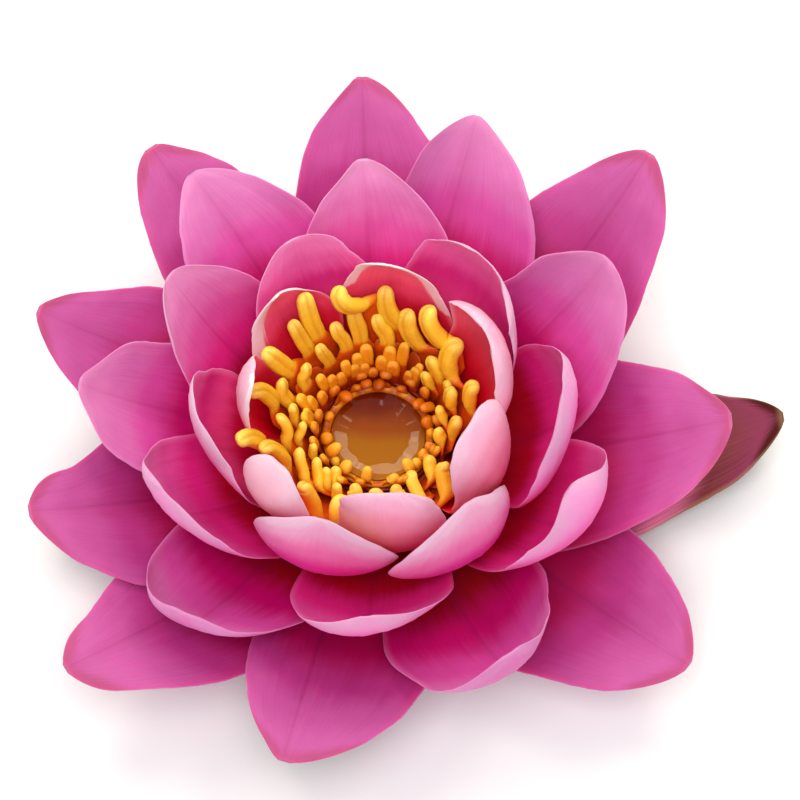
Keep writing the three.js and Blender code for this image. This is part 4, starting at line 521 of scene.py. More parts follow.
def mid_surface(p, S, V, corr, skew=0.0):
    """Points of a petal's middle surface for s in S and v in V (V from -1 to 1)."""
    NS = 400
    ss = (np.arange(NS) + 0.5) / NS

    def pitch(s):
        return (p['p0'] * (1 - s) * (1 - 2 * s) + 4 * p['p1'] * s * (1 - s) + p['p2'] * s * (2 * s - 1)
                + p['hk'] * np.maximum(0, (s - 0.68) / 0.32) ** 2) * D

    def head(s):
        return (p['phi'] + p['yaw'] * s) * D
    step = np.stack([np.cos(pitch(ss)) * np.cos(head(ss)), np.cos(pitch(ss)) * np.sin(head(ss)), np.sin(pitch(ss))], 1) * p['L'] / NS
    start = np.array([p['r0'] * math.cos(p['phi'] * D), p['r0'] * math.sin(p['phi'] * D), p['z0']])
    M = np.vstack([start, start + np.cumsum(step, 0)])
    sp = np.clip(S, 0, 1)
    c = np.stack([np.interp(sp * NS, np.arange(NS + 1), M[:, a]) for a in range(3)], 1)
    t, h = pitch(sp), head(sp)
    T = np.stack([np.cos(t) * np.cos(h), np.cos(t) * np.sin(h), np.sin(t)], 1)
    c = c + T * np.minimum(S, 0)[:, None] * p['L']
    side = np.stack([-np.sin(h), np.cos(h), 0 * h], 1)
    c = c + side * (skew * np.clip((sp - 0.25) / 0.75, 0, 1) ** 2)[:, None]
    up = np.cross(T, side)
    tw = (p['tw'] * sp * D)[:, None]
    A = side * np.cos(tw) + up * np.sin(tw)
    B = up * np.cos(tw) - side * np.sin(tw)
    s1 = (sp + 0.05) / 1.05
    eB = p['e'] * p['m'] / (1 - p['m'])
    w = p['W'] / 2 * (s1 / p['m']) ** eB * ((1 - s1) / (1 - p['m'])) ** p['e']
    back = np.maximum(0, -S)
    w = w * (1 - 0.28 * np.minimum(1, back / max(1e-6, back.max() if back.max() > 0 else 1)))
    cup = (p['cf'] * sp + (2 - p['cf']) * (1 - sp)) * np.minimum(1, w / (p['W'] / 2) + 0.25)
    rf = p['rs'] * sp + (2 - p['rs']) * (1 - sp)
    P = np.zeros((len(S), len(V), 3))
    SUB = 64
    vv = (np.arange(SUB) + 0.5) / SUB
    q = np.maximum(0, vv - 0.5) * 2
    knots = np.array([0.0, 0.14, 0.32, 0.5, 0.68, 0.84, 0.95, 1.0])
    for sd, cu, ro, cor in ((1, p['cL'], p['rL'], corr[0]), (-1, p['cR'], p['rR'], corr[1])):
        ww = w * (1 + sd * p['as'])
        full = np.array([0.0] + list(cor) + [cor[-1] * 0.4])
        add = smooth_interp(sp, knots, full)
        ww = np.maximum(0.05, ww + add * np.minimum(1, ww / 3.0))
        an = (cu * D * cup)[:, None] * vv[None] + (ro * D * rf)[:, None] * (q ** 2)[None]
        a = np.concatenate([np.zeros((len(S), 1)), np.cumsum(np.cos(an) * ww[:, None] / SUB, 1)], 1)
        b = np.concatenate([np.zeros((len(S), 1)), np.cumsum(np.sin(an) * ww[:, None] / SUB, 1)], 1)
        sel = np.where(V * sd >= 0)[0]
        f = np.abs(V[sel]) * SUB
        i = np.minimum(SUB - 1, np.floor(f).astype(int))
        g = f - i
        aa = a[:, i] * (1 - g) + a[:, i + 1] * g
        bb = b[:, i] * (1 - g) + b[:, i + 1] * g
        P[:, sel] = c[:, None] + sd * aa[..., None] * A[:, None] + bb[..., None] * B[:, None]
    return P


def smooth_interp(x, xs, ys):
    i = np.clip(np.searchsorted(xs, x) - 1, 0, len(xs) - 2)
    t = np.clip((x - xs[i]) / (xs[i + 1] - xs[i]), 0, 1)
    m = np.gradient(ys, xs)
    h = xs[i + 1] - xs[i]
    return ((2 * t ** 3 - 3 * t ** 2 + 1) * ys[i] + (t ** 3 - 2 * t ** 2 + t) * h * m[i]
            + (-2 * t ** 3 + 3 * t ** 2) * ys[i + 1] + (t ** 3 - t ** 2) * h * m[i + 1])


# small changes of a petal's bearing: sideways lean of the tip in mm, then hk, tw, yaw, p2, L
TWEAK = {
    'A1': (0.0, 1.2, 0.0, 0.0, 0.0),
    'A2': (0.0, 4.8, 0.0, 0.0, 0.0),
    'A3': (0.0, -6.0, -1.8, 0.0, -4.8),
    'A4': (0.0, 0.0, 3.6, 0.0, 0.0),
    'A8': (0.0, -2.4, -1.8, 0.0, 0.0),
    'B1': (0.0, -4.8, 0.9, 0.0, -4.8),
    'B3': (0.0, 12.0, 0.9, 0.9, 0.0),
    'B6': (0.0, 1.2, 0.0, 0.0, 0.0),
    'C3': (0.0, -2.4, 0.0, 0.9, -1.2),
    'C4': (0.0, 0.0, 0.0, 3.6, -12.0),
    'C5': (0.0, 0.0, 0.0, -3.6, -4.8),
    'B5': (0.0, -8.4, -1.8, 3.6, -9.6),
    'B4': (0.0, -12.0, 0.0, 0.0, -6.0),
    'D2': (0.0, 2.4, 0.0, 0.0, 0.0),
    'D3': (0.0, -4.8, 0.0, 0.0, 0.0),
    'C6': (0.0, -3.6, 0.0, 3.6, -4.8),
    'C1': (0.0, 6.0, 0.9, 0.9, 1.2),
    'E3': (-1.2, -2.4, 0.0, 0.0, 7.2),
    'E2': (0.0, 3.6, 0.0, 0.0, 0.0),
    'E1': (0.0, 4.8, 0.0, 0.0, 4.8),
    'E4': (0.0, 0.0, 0.0, 0.9, 2.4),
    'D1': (0.0, 3.6, 0.0, 0.9, 1.2),
    'E7': (0.0, 19.2, 0.0, 3.6, 14.4),
    'E6': (-1.5, 0.0, -3.6, 0.0, 4.8),
    'E5': (0.0, 3.6, 0.0, 0.0, 6.0),
    'S3': (0, 0, 0, 0, 0, -2.6),
    'S4': (0, 0, 0, 0, 0, -0.8),
}

# folded pale lips: side (+1 left of the petal as seen from its foot), start, end, reach in mm
LIPS = {
    'E1': ((1, 0.5, 1.1, 2.4), (-1, 0.78, 1.1, 1.0)),
    'E2': ((1, 0.62, 1.1, 1.7), (-1, 0.5, 1.1, 1.7)),
    'E4': ((1, 0.45, 1.1, 0.9),),
}


# peach tint low down beside one margin of the outer face
PEACH = {'E6': (-1, 0.2, 0.95), 'E7': (-1, 0.15, 0.7), 'E5': (1, 0.15, 0.72)}
# petals paler than their row: how far along that starts, and how strong it is on the inner and outer face
BLUSH = {'E3': (0.3, 0.3, 0.0), 'E5': (0.45, 0.3, 0.42), 'E4': (0.5, 0.0, 0.3)}


def smooth_step(x):
    x = np.clip(x, 0, 1)
    return x * x * (3 - 2 * x)


def petal_mesh(key, mat, thick, nu=54, nv=36, seed=1):
    p = dict(zip(KEYS, SHAPES[key]))
    tweak = TWEAK.get(key, (0, 0, 0, 0, 0))
    for name, more in zip(('hk', 'tw', 'yaw', 'p2', 'L'), tweak[1:]):
        p[name] += more
    corr = EDGE.get(key, ([0] * 6, [0] * 6))
    back = max(0.0, (p['r0'] - FOOT_R) / max(0.5, math.cos(p['p0'] * D))) / p['L']
    u = np.linspace(0, 1, nu + 1)
    S = (1 - (1 - u) ** 2 * 0.35 - (1 - u) * 0.65) * END
    if back > 0.004:
        S = np.concatenate([[-back, -back * 0.5], S])
    x = np.linspace(-1, 1, nv + 1)
    V = x * (1.35 - 0.35 * x * x)
    P = mid_surface(p, S, V, corr, tweak[0])
    # frame of the surface
    dS = np.gradient(P, axis=0)
    dV = np.gradient(P, axis=1)
    N = np.cross(dS, dV)
    N /= np.linalg.norm(N, axis=2, keepdims=True) + 1e-12
    sp = np.clip(S, 0, 1)[:, None]
    av = np.abs(V)[None, :]
    wide = np.linalg.norm(P[:, -1] - P[:, 0], axis=1)[:, None] / p['W']
    fade = np.minimum(1, wide * 1.6) * np.minimum(1, sp * 5)
    # real relief: midrib furrow, lengthwise ribs, a slightly wavy margin
    rel = -0.16 * np.exp(-(V[None] / 0.045) ** 2) * (1 - sp ** 2)
    ribs = noise1(V * 7.0 + seed * 3.1, seed, 3)[None] * 0.11 + noise1(V * 17.0 + seed, seed + 50, 2)[None] * 0.045
    rel = rel + ribs * (0.5 + 0.5 * sp)
    drift = noise1(S * 3.0 + seed, seed + 9, 2)[:, None] * 0.25
    wave = noise1(S * 5.5 + seed * 1.7, seed + 20, 2)[:, None] * (V[None] > 0) + noise1(S * 5.5 + seed * 2.3, seed + 30, 2)[:, None] * (V[None] < 0)
    rel = rel + (wave * 0.55 * av ** 4 + drift * av ** 2) * sp
    rel = rel * fade
    P = P + N * rel[..., None]
    # margins are never quite even
    dVn = dV / (np.linalg.norm(dV, axis=2, keepdims=True) + 1e-9)
    uneven = np.where(V[None] > 0, noise1(S * 11.0 + seed * 1.3, seed + 70, 3)[:, None], noise1(S * 11.0 + seed * 2.9, seed + 90, 3)[:, None])
    P = P + dVn * (np.sign(V)[None] * av ** 5 * uneven * 0.42 * fade * sp)[..., None]
    # thickness: fleshy at the foot and along the middle, thin at the margin
    T = thick * (1.0 - 0.55 * sp) * np.sqrt(np.clip(1 - av ** 5, 0, 1))
    k = len(S)
    endf = np.ones(k)
    endf[-1] = 0.0
    endf[-2] = 0.6
    endf[-3] = 0.85
    T = T * endf[:, None]
    T[0, :] = 0
    half = T[..., None] / 2
    I = P + N * half
    O = P - N * half
    ns, nvv = len(S), len(V)
    idx_i = np.arange(ns * nvv).reshape(ns, nvv)
    idx_o = np.full((ns, nvv), -1)
    border = np.zeros((ns, nvv), bool)
    border[0] = border[-1] = True
    border[:, 0] = border[:, -1] = True
    idx_o[border] = idx_i[border]
    extra = np.where(~border)
    idx_o[extra] = ns * nvv + np.arange(len(extra[0]))
    verts = np.vstack([I.reshape(-1, 3), O[extra]])
    Sg = np.broadcast_to(np.clip(S, 0, 1)[:, None], (ns, nvv))
    Vg = np.broadcast_to(V[None], (ns, nvv))
    along = np.concatenate([Sg.reshape(-1), Sg[extra]])
    across = np.concatenate([Vg.reshape(-1), Vg[extra]])
    facev = np.concatenate([np.where(border, 0.5, 0.0).reshape(-1), np.ones(len(extra[0]))])
    faces = []

    def cell(i, j, a, b, c, d):
        # in a corner the cut runs to the inner point, so that the two faces never share a triangle
        if i in (0, ns - 2) and j in (0, nvv - 2):
            if (i == 0) == (j == 0):
                faces.extend([(a, b, c), (a, c, d)])
            else:
                faces.extend([(a, b, d), (b, c, d)])
        else:
            faces.append((a, b, c, d))

    for i in range(ns - 1):
        for j in range(nvv - 1):
            cell(i, j, idx_i[i, j], idx_i[i + 1, j], idx_i[i + 1, j + 1], idx_i[i, j + 1])
            cell(i, j, idx_o[i, j], idx_o[i, j + 1], idx_o[i + 1, j + 1], idx_o[i + 1, j])
    pick = (seed * 0.618) % 1.0
    lip = np.zeros(len(along))
    for side, s0, s1, reach in LIPS.get(key, ()):
        half_w = np.interp(along, np.clip(S, 0, 1), wide[:, 0] * p['W'] / 2)
        rim_d = np.minimum((1 - np.abs(across)) * half_w, (1 - along) * p['L'] * 0.9)
        window = np.clip((along - s0) / 0.08, 0, 1) * np.clip((s1 - along) / 0.05, 0, 1)
        lip = np.maximum(lip, np.clip(1.0 - 0.5 * rim_d / reach, 0, 1) * window * np.clip(0.5 + across * side * 6, 0, 1))
    peach = np.zeros(len(along))
    if key in PEACH:
        side, s0, s1 = PEACH[key]
        peach = smooth_step((across * side + 0.35) / 1.2) * smooth_step((along - s0) / 0.15) * smooth_step((s1 - along) / 0.25)
    start, strong_in, strong_out = BLUSH.get(key, (0.5, 0.0, 0.0))
    blush = np.where(facev > 0.75, strong_out, strong_in) * smooth_step((along - start) / 0.3)
    ob = new_mesh("lily_" + ("sepal_" if key[0] == "S" else "petal_") + key, verts, faces, [mat],
                  {"along": along, "across": across, "outer_face": facev, "pick": np.full(len(verts), pick), "lip": lip, "peach": peach, "blush": blush})
    return ob


def sweep_mesh(stations, n=20, pick=0.5):
    """Closed sweep. Each station: centre, across, out, width, thickness, lobes, t. Returns verts, faces and the
    attributes along, anther, groove, pick.
    """
    verts, faces = [], []
    at = {"along": [], "anther": [], "groove": [], "pick": []}

    def note(u, lobes, gr):
        at["along"].append(u)
        at["anther"].append(min(1.0, lobes / 0.3))
        at["groove"].append(gr * min(1.0, lobes / 0.3))
        at["pick"].append(pick)
    for c, ac, out, w, t, lobes, u in stations:
        for k in range(n):
            a = 2 * math.pi * k / n
            ca, sa = math.cos(a), math.sin(a)
            # two lobes: the section is pinched in the middle of both faces
            pin = 1 - lobes * math.exp(-(ca / 0.30) ** 2)
            verts.append(c + ac * ca * w / 2 + out * sa * t / 2 * pin)
            note(u, lobes, math.exp(-(ca / 0.22) ** 2))
    S = len(stations)
    for s in range(S - 1):
        for k in range(n):
            a, b = s * n + k, s * n + (k + 1) % n
            faces.append((a, b, b + n, a + n))
    first, last = stations[0], stations[-1]
    verts.append(first[0])
    note(first[6], first[5], 0.0)
    verts.append(last[0])
    note(last[6], last[5], 0.3)
    i0, i1 = len(verts) - 2, len(verts) - 1
    for k in range(n):
        faces.append((i0, (k + 1) % n, k))
        faces.append((i1, (S - 1) * n + k, (S - 1) * n + (k + 1) % n))
    return verts, faces, at


def curve(pts, S):
    """Evenly spaced points of a smooth curve through the given ones."""
    p = np.array(pts, float)
    p = np.vstack([2 * p[0] - p[1], p, 2 * p[-1] - p[-2]])
    fine = []
    M = 12
    for i in range(len(pts) - 1):
        a, b, c, d = p[i:i + 4]
        for k in range(1 if i else 0, M + 1):
            t = k / M
            fine.append(0.5 * (2 * b + (c - a) * t + (2 * a - 5 * b + 4 * c - d) * t * t + (3 * b - a - 3 * c + d) * t ** 3))
    fine = np.array(fine)
    L = np.concatenate([[0], np.cumsum(np.linalg.norm(np.diff(fine, axis=0), axis=1))])
    want = np.linspace(0, L[-1], S + 1)
    return np.stack([np.interp(want, L, fine[:, k]) for k in range(3)], 1)


def stamen_geo(pts, w, wf, foot_w=0.95, curl=0.0, cleft=0.0, a0=0.55, seed=0, n=28, S=44, tilt=0.0):
    """One stamen: strap-shaped filament, anther with two furrows on its inner face, rounded end."""
    P0 = curve(pts, S)
    az = math.atan2(pts[0][1], pts[0][0])
    ac = np.array([-math.sin(az), math.cos(az), 0.0])
    if curl > 0:
        # the end rolls over towards the middle of the flower
        d = P0[-1] - P0[-2]
        d /= np.linalg.norm(d)
        inw = -np.array([P0[-1][0], P0[-1][1], 0.0])
        inw /= np.linalg.norm(inw)
        nin = inw - d * np.dot(inw, d)
        nin /= np.linalg.norm(nin)
        cut = int(S * 0.86)
        base, r, nC = P0[cut], w * 0.5, 12
        arc = [base + d * math.sin(curl * i / nC) * r * 1.3 + nin * (1 - math.cos(curl * i / nC)) * r for i in range(1, nC + 1)]
        P0 = np.vstack([P0[:cut + 1], arc])
        L = np.concatenate([[0], np.cumsum(np.linalg.norm(np.diff(P0, axis=0), axis=1))])
        P0 = np.stack([np.interp(np.linspace(0, L[-1], S + 1), L, P0[:, k]) for k in range(3)], 1)
    verts, faces = [], []
    at = {"along": [], "anther": [], "groove": [], "pick": []}
    pick = (seed * 0.618) % 1.0
    g = np.random.default_rng(seed + 500)
    bend1, ph1, ph2 = g.uniform(-0.05, 0.05), g.uniform(0, 6), g.uniform(0, 6)
    # stations crowd together at the rounded end
    us = np.concatenate([np.linspace(0, 0.9, S - 9), 0.9 + 0.1 * np.sin(np.linspace(0, 1, 11)[1:] * math.pi / 2)])
    X = np.stack([np.interp(us * S, np.arange(S + 1), P0[:, k]) for k in range(3)], 1)
    T = np.gradient(X, axis=0)
    T /= np.linalg.norm(T, axis=1, keepdims=True)
    total = np.sum(np.linalg.norm(np.diff(X, axis=0), axis=1))
    cap = min(0.3, 0.5 * w / total)
    for i, u in enumerate(us):
        ac = ac - T[i] * np.dot(ac, T[i])
        ac /= np.linalg.norm(ac)
        out = np.cross(T[i], ac)
        e = 1.0
        if u > 1 - cap:
            q = (u - (1 - cap)) / cap
            e = math.sqrt(max(0.0, 1 - q * q)) ** 0.9
        e = max(e, 0.10)
        am = smooth01((u - (a0 - 0.035)) / 0.07)
        ww = w * np.interp(u, [0, 0.1, a0 - 0.1, a0 + 0.01, a0 + 0.18, 0.88, 1], [foot_w * wf, wf, wf, 1.0, 1.08, 0.98, 0.84]) * (1 + 0.03 * math.sin(ph1 + u * 11)) * e
        tt = w * np.interp(u, [0, a0 - 0.12, a0 + 0.08, 0.93, 1], [0.2, 0.22, 0.84, 0.8, 0.6]) * (1 + 0.04 * math.sin(ph2 + u * 9)) * e
        for k in range(n):
            a = 2 * math.pi * k / n
            ca, sa = math.cos(a), math.sin(a)
            inner = 1.0 if sa > 0 else 0.25
            fur = math.exp(-(ca / 0.22) ** 2)
            mid = math.exp(-((ca - 0.56) / 0.12) ** 2) + math.exp(-((ca + 0.56) / 0.12) ** 2)
            dent = am * (0.27 * fur * inner + 0.10 * mid * inner)
            if cleft > 0:
                dent += cleft * 0.55 * math.exp(-(ca / 0.35) ** 2) * max(0.0, (u - 0.8) / 0.2)
            # the strap is a little hollow towards the middle of the flower
            hol = (1 - am) * 0.10 * w * (ca * ca - 0.4)
            sx = math.copysign(abs(ca) ** 0.9, ca)
            sy = math.copysign(abs(sa) ** 0.85, sa)
            verts.append(X[i] + ac * sx * ww / 2 + out * (sy * tt / 2 * (1 - dent) - hol * e))
            at["along"].append(u)
            at["anther"].append(am)
            at["groove"].append(min(1.0, (fur + 0.4 * mid) * (1.0 if sa > -0.1 else 0.3)))
            at["pick"].append(pick)
    N = len(us)
    for s in range(N - 1):
        for k in range(n):
            a, b = s * n + k, s * n + (k + 1) % n
            faces.append((a, b, b + n, a + n))
    for c, u in ((X[0], 0.0), (X[-1] + T[-1] * 0.02 * w, 1.0)):
        verts.append(c)
        at["along"].append(u)
        at["anther"].append(1.0 if u else 0.0)
        at["groove"].append(0.2 if u else 0.0)
        at["pick"].append(pick)
    i0, i1 = len(verts) - 2, len(verts) - 1
    for k in range(n):
        faces.append((i0, (k + 1) % n, k))
        faces.append((i1, (N - 1) * n + k, (N - 1) * n + (k + 1) % n))
    return verts, faces, at


def smooth01(x):
    x = min(1.0, max(0.0, x))
    return x * x * (3 - 2 * x)


# ---------------------------------------------------------------- the flower
ROW = {
    "A": ("petal", 0.95), "B": ("petal", 0.92), "C": ("petal", 0.88),
    "D": ("petal_inner", 0.85), "E": ("petal_inner", 0.8), "S": ("sepal", 1.45),
}
for i, key in enumerate(SHAPES):
    slot, thick = ROW[key[0]]
    ob = petal_mesh(key, MATS[key[0]], thick, seed=i + 1)
    place(ob, slot, ("sepal_" if key[0] == "S" else "petal_") + key)


def stamen_object(name, parts, mat, node, slot="stamen"):
    V, F, A = [], [], {"along": [], "anther": [], "groove": [], "pick": []}
    for v, f, a in parts:
        o = len(V)
        V += [np.asarray(x, float) for x in v]
        F += [tuple(i + o for i in q) for q in f]
        for k in A:
            A[k] += a[k]
    ob = new_mesh(name, V, F, [mat], A)
    place(ob, slot, node)
    return ob


def foot_ring(rin, rout, z, n=72):
    """The narrow band that the feet of one ring of stamens share."""
    prof = [(rin, z), (rout, z), (rout, z + 0.75), ((rin + rout) / 2, z + 0.9), (rin, z + 0.75)]
    v, f = [], []
    for k in range(n):
        a = 2 * math.pi * k / n
        for r, zz in prof:
            v.append(np.array([r * math.cos(a), r * math.sin(a), zz]))
    m = len(prof)
    for k in range(n):
        for j in range(m):
            a, b = k * m + j, k * m + (j + 1) % m
            c, d = ((k + 1) % n) * m + (j + 1) % m, ((k + 1) % n) * m + j
            f.append((a, d, c, b))
    N = len(v)
    return v, f, {"along": [0.05] * N, "anther": [0.0] * N, "groove": [0.0] * N, "pick": [0.5] * N}


def strap_wall(z0, n=288, rows=16):
    """The overlapping bases of the straps: a thin scalloped collar that follows their lean."""
    lean = []
    for pts, w, wf, opt in OUTER + MIDDLE:
        a = math.atan2(pts[1][1], pts[1][0])
        r0, r1 = math.hypot(pts[0][0], pts[0][1]), math.hypot(pts[1][0], pts[1][1])
        lean.append((a, (r1 - r0) / (pts[1][2] - pts[0][2]), pts[1][2]))
    v, f, along, gr = [], [], [], []
    for k in range(n):
        a = 2 * math.pi * k / n
        ws = [math.exp(-(math.atan2(math.sin(a - b), math.cos(a - b)) / 0.22) ** 2) for b, _, _ in lean]
        sl = sum(w * q[1] for w, q in zip(ws, lean)) / sum(ws)
        top = sum(w * q[2] for w, q in zip(ws, lean)) / sum(ws)
        lobe = abs(math.sin(13.5 * a + 0.6 * math.sin(3 * a + 1.0)))
        top = min(top - 0.4, 23.5) - 2.6 * (1 - lobe) ** 2 + 0.5 * math.sin(5 * a)
        side = []
        for face in (1, -1):
            for j in range(rows + 1):
                t = j / rows
                tt = t if face > 0 else 1 - t
                z = z0 + 0.05 + (top - z0) * tt
                th = 0.34 * (1 - 0.6 * tt)
                r = 11.05 + sl * (z - z0) * (0.8 + 0.2 * tt) + 0.26 * lobe * min(1, tt * 3) - face * th / 2
                side.append((r, z, tt))
        for r, z, tt in side:
            v.append(np.array([r * math.cos(a), r * math.sin(a), z]))
            along.append(0.04 + 0.42 * tt)
            gr.append(0.0)
    m = 2 * (rows + 1)
    for k in range(n):
        for j in range(m):
            a, b = k * m + j, k * m + (j + 1) % m
            c, d = ((k + 1) % n) * m + (j + 1) % m, ((k + 1) % n) * m + j
            f.append((a, d, c, b))
    N = len(v)
    return v, [q[::-1] for q in f], {"along": along, "anther": [0.0] * N, "groove": gr, "pick": [0.4] * N}


Z0 = 16.9
for i, (pts, w, wf, opt) in enumerate(OUTER):
    stamen_object("lily_stamen_outer_%02d" % (i + 1), [stamen_geo(pts, w, wf, seed=i + 1, **opt)], STAMEN, "stamen_outer_%02d" % (i + 1))
parts = [foot_ring(10.75, 11.25, Z0), strap_wall(Z0 + 0.3)]
for i, (pts, w, wf, opt) in enumerate(MIDDLE):
    parts.append(stamen_geo(pts, w, wf, seed=i + 31, n=24, S=34, **opt))
stamen_object("lily_stamens_middle", parts, STAMEN, "stamens_middle")
parts = [foot_ring(9.75, 10.3, Z0)]
for i, (pts, w, wf, opt) in enumerate(INNER):
    part = stamen_geo(pts, w, wf, seed=i + 61, n=18, S=24, **opt)
    part[2]["pick"] = [min(1.0, max(0.0, (pts[-1][2] - 21.4) / 3.2))] * len(part[0])
    parts.append(part)
stamen_object("lily_stamens_inner", parts, STAMEN_IN, "stamens_inner")


# receptacle and cut stalk: one lathe with soft ribs
def polar(name, rings, n, mats, attrs_of, closed_top=True, face_mat=None):
    """rings: list of functions angle -> (r, z); first and last ring close on the axis."""
    v, at = [], []
    for j, fn in enumerate(rings):
        for k in range(n):
            a = 2 * math.pi * k / n
            r, z = fn(a)
            v.append((r * math.cos(a), r * math.sin(a), z))
            at.append(attrs_of(j, a, r, z))
    faces, fm = [], []
    for j in range(len(rings) - 1):
        for k in range(n):
            a, b = j * n + k, j * n + (k + 1) % n
            faces.append((a, b, b + n, a + n))
            fm.append(0 if face_mat is None else face_mat(j))
    for j, rev in ((0, True), (len(rings) - 1, False)):
        c = len(v)
        zs = np.mean([v[j * n + k][2] for k in range(n)])
        v.append((0.0, 0.0, float(zs)))
        at.append(attrs_of(j, 0.0, 0.0, float(zs)))
        for k in range(n):
            a, b = j * n + k, j * n + (k + 1) % n
            faces.append((c, b, a) if rev else (c, a, b))
            fm.append(0 if face_mat is None else face_mat(j))
    keys = at[0].keys()
    return new_mesh(name, v, faces, mats, {q: [x[q] for x in at] for q in keys}, face_mat=fm)


PROFILE = [(0.6, 0.0), (1.5, 0.0), (2.4, 0.0), (3.2, 0.0), (3.62, 0.0), (3.78, 0.15), (3.8, 0.6), (3.8, 1.5), (3.82, 2.4), (3.95, 3.0), (4.6, 3.4), (5.4, 3.72),
           (6.8, 4.15), (8.0, 4.6), (8.8, 5.3), (9.3, 6.25), (9.6, 7.2), (9.7, 8.2), (9.7, 10.5), (9.7, 13.0), (9.7, 15.0),
           (9.9, 15.6), (10.6, 16.1), (11.3, 16.22), (11.85, 16.3), (11.98, 16.42), (11.85, 16.58), (11.0, 16.6), (9.7, 16.6), (9.55, 16.3), (9.25, 15.25), (7.5, 14.38), (4.0, 14.2), (1.0, 14.16)]


def recep(j):
    r0, z0 = PROFILE[j]

    def f(a):
        k = 0.0
        if 5 <= j <= 9:
            k = 0.05 * math.sin(7 * a + 0.4) + 0.035 * math.sin(17 * a)
        elif 10 <= j <= 25:
            k = 0.08 * math.sin(11 * a + z0) - 0.06
        # the stalk's air canals, sunk into the cut end
        z = z0
        if j in (1, 2):
            z = 0.55 * max(0.0, math.cos(2.0 * a + 0.3)) ** 0.7 if math.cos(2.0 * a + 0.3) > 0 else 0.0
            z = 0.6 * max(0.0, math.cos(4.0 * a + 0.3)) ** 0.6 if math.cos(4.0 * a + 0.3) > 0 else 0.0
        return r0 + k, z
    return f


polar_ob = polar("lily_receptacle", [recep(j) for j in range(len(PROFILE))], 96, [STEM, CUT, CROWN],
                 lambda j, a, r, z: {"ring": (0.15 if (j in (1, 2) and math.cos(4 * a + 0.3) > 0.2) else 0.6 if j < 4 else 0.9)},
                 face_mat=lambda j: 1 if j < 4 else 2 if j > 21 else 0)
place(polar_ob, "receptacle", "receptacle")

# stigma: a bowl with a raised ray and an upturned tooth for each carpel
CARPELS = 18
RADII = [0.25, 0.8, 1.5, 2.3, 3.2, 4.1, 5.0, 5.9, 6.6, 7.1, 7.5, 7.8, 8.05, 8.15, 8.22, 8.32, 8.45, 8.6, 8.8, 9.05, 9.3, 9.5]


def dish(r):
    return float(np.interp(r, [0, 1.2, 2.0, 7.1, 7.8, 8.14, 8.22, 8.4, 8.7, 9.0, 9.25, 9.5], [15.45, 15.38, 15.3, 15.55, 16.1, 16.5, 17.25, 17.45, 17.6, 17.7, 17.75, 17.6]))


def disc_top(r):
    def f(a):
        ray = math.cos(CARPELS * a / 2) ** 2
        amp = 0.0 if r < 1.5 or 8.0 < r < 8.3 else 0.12 if r < 8 else 0.34
        return r, dish(r) + amp * (ray - 0.5)
    return f


rings = [lambda a: (1.0, 14.5), lambda a: (4.0, 14.58), lambda a: (7.35, 14.7), lambda a: (8.3, 15.2), lambda a: (8.9, 15.6), lambda a: (9.2, 16.5), lambda a: (9.55, 17.3)] + [disc_top(r) for r in reversed(RADII)]
disc = polar("lily_stigma_disc", rings, CARPELS * 10, [DISC], lambda j, a, r, z: {"height": min(1.0, max(0.0, (z - 14.5) / 4.6 + 0.12 * math.cos(CARPELS * a)))})
me = disc.data
V = [np.array(v.co) / MM + np.array([CX, CY, 0]) for v in me.vertices]
F = [tuple(p.vertices) for p in me.polygons]
H = [0.0] * len(V)
me.attributes["height"].data.foreach_get("value", H)
for i in range(CARPELS):
    a = 2 * math.pi * i / CARPELS
    c, s = math.cos(a), math.sin(a)
    q = (i * 0.618 + 0.3) % 1.0
    zt = 19.3 + 2.3 * ((i * 0.381) % 1.0)
    back = 0.5 + 0.5 * s
    a2 = a + 0.15 * math.sin(5.1 * i)
    r2 = 7.75 + 0.75 * math.sin(2.3 * i + 1)
    pts = [(9.05 * c, 9.05 * s, 17.0), (9.1 * c, 9.1 * s, 18.0), (9.05 * math.cos(a2), 9.05 * math.sin(a2), 0.5 * (18.0 + zt)), (r2 * math.cos(a2), r2 * math.sin(a2), zt)]
    v, f, at = stamen_geo(pts, 1.6 + 0.7 * q, 0.72, a0=0.5, seed=200 + i, n=16, S=20)
    o = len(V)
    V += v
    F += [tuple(k + o for k in q) for q in f]
    # painted shade: teeth on the far side of the dish are coloured darker, where the flower's own shade falls; the
    # random q term is their own tone
    H += [0.42 + (0.78 - 0.15 * q - 0.6 * back) * min(1.0, 1.25 * x) for x in at["along"]]
bpy.data.objects.remove(disc)
disc = new_mesh("lily_stigma_disc", V, F, [DISC], {"height": H})
place(disc, "stigma", "stigma_disc")

# nectar in the dish: almost flat, drawn up a little where it meets the rim
PZ = 15.9
rs = [7.98 * k / 64 for k in range(1, 65)]


def wavy(a, seed, k):
    g = np.random.default_rng(seed)
    return sum(g.uniform(0.4, 1.0) / (1 + 0.35 * n) * math.sin(n * a + g.uniform(0, 6.28)) for n in range(2, k)) / 2.2


def film(a):
    """Heights along one radius: level in the middle, then a tilted band of uneven width."""
    r_in = 5.2 + 0.85 * wavy(a, 3, 9) + 0.6 * wavy(a, 5, 26)
    r_out = min(7.75, 7.15 + 0.55 * wavy(a, 9, 14))
    z, out, last = 16.9, [], 0.0
    for r in rs:
        tilt = 0.2 * smooth01((r - r_in) / 0.3) * (1 - smooth01((r - r_out) / 0.3))
        z += tilt * (r - last)
        last = r
        out.append(min(17.47, z))
    return out


cache = {}


def pool_top(j):
    def f(a):
        key = round(a, 6)
        if key not in cache:
            cache[key] = film(a)
        return rs[j], cache[key][j]
    return f


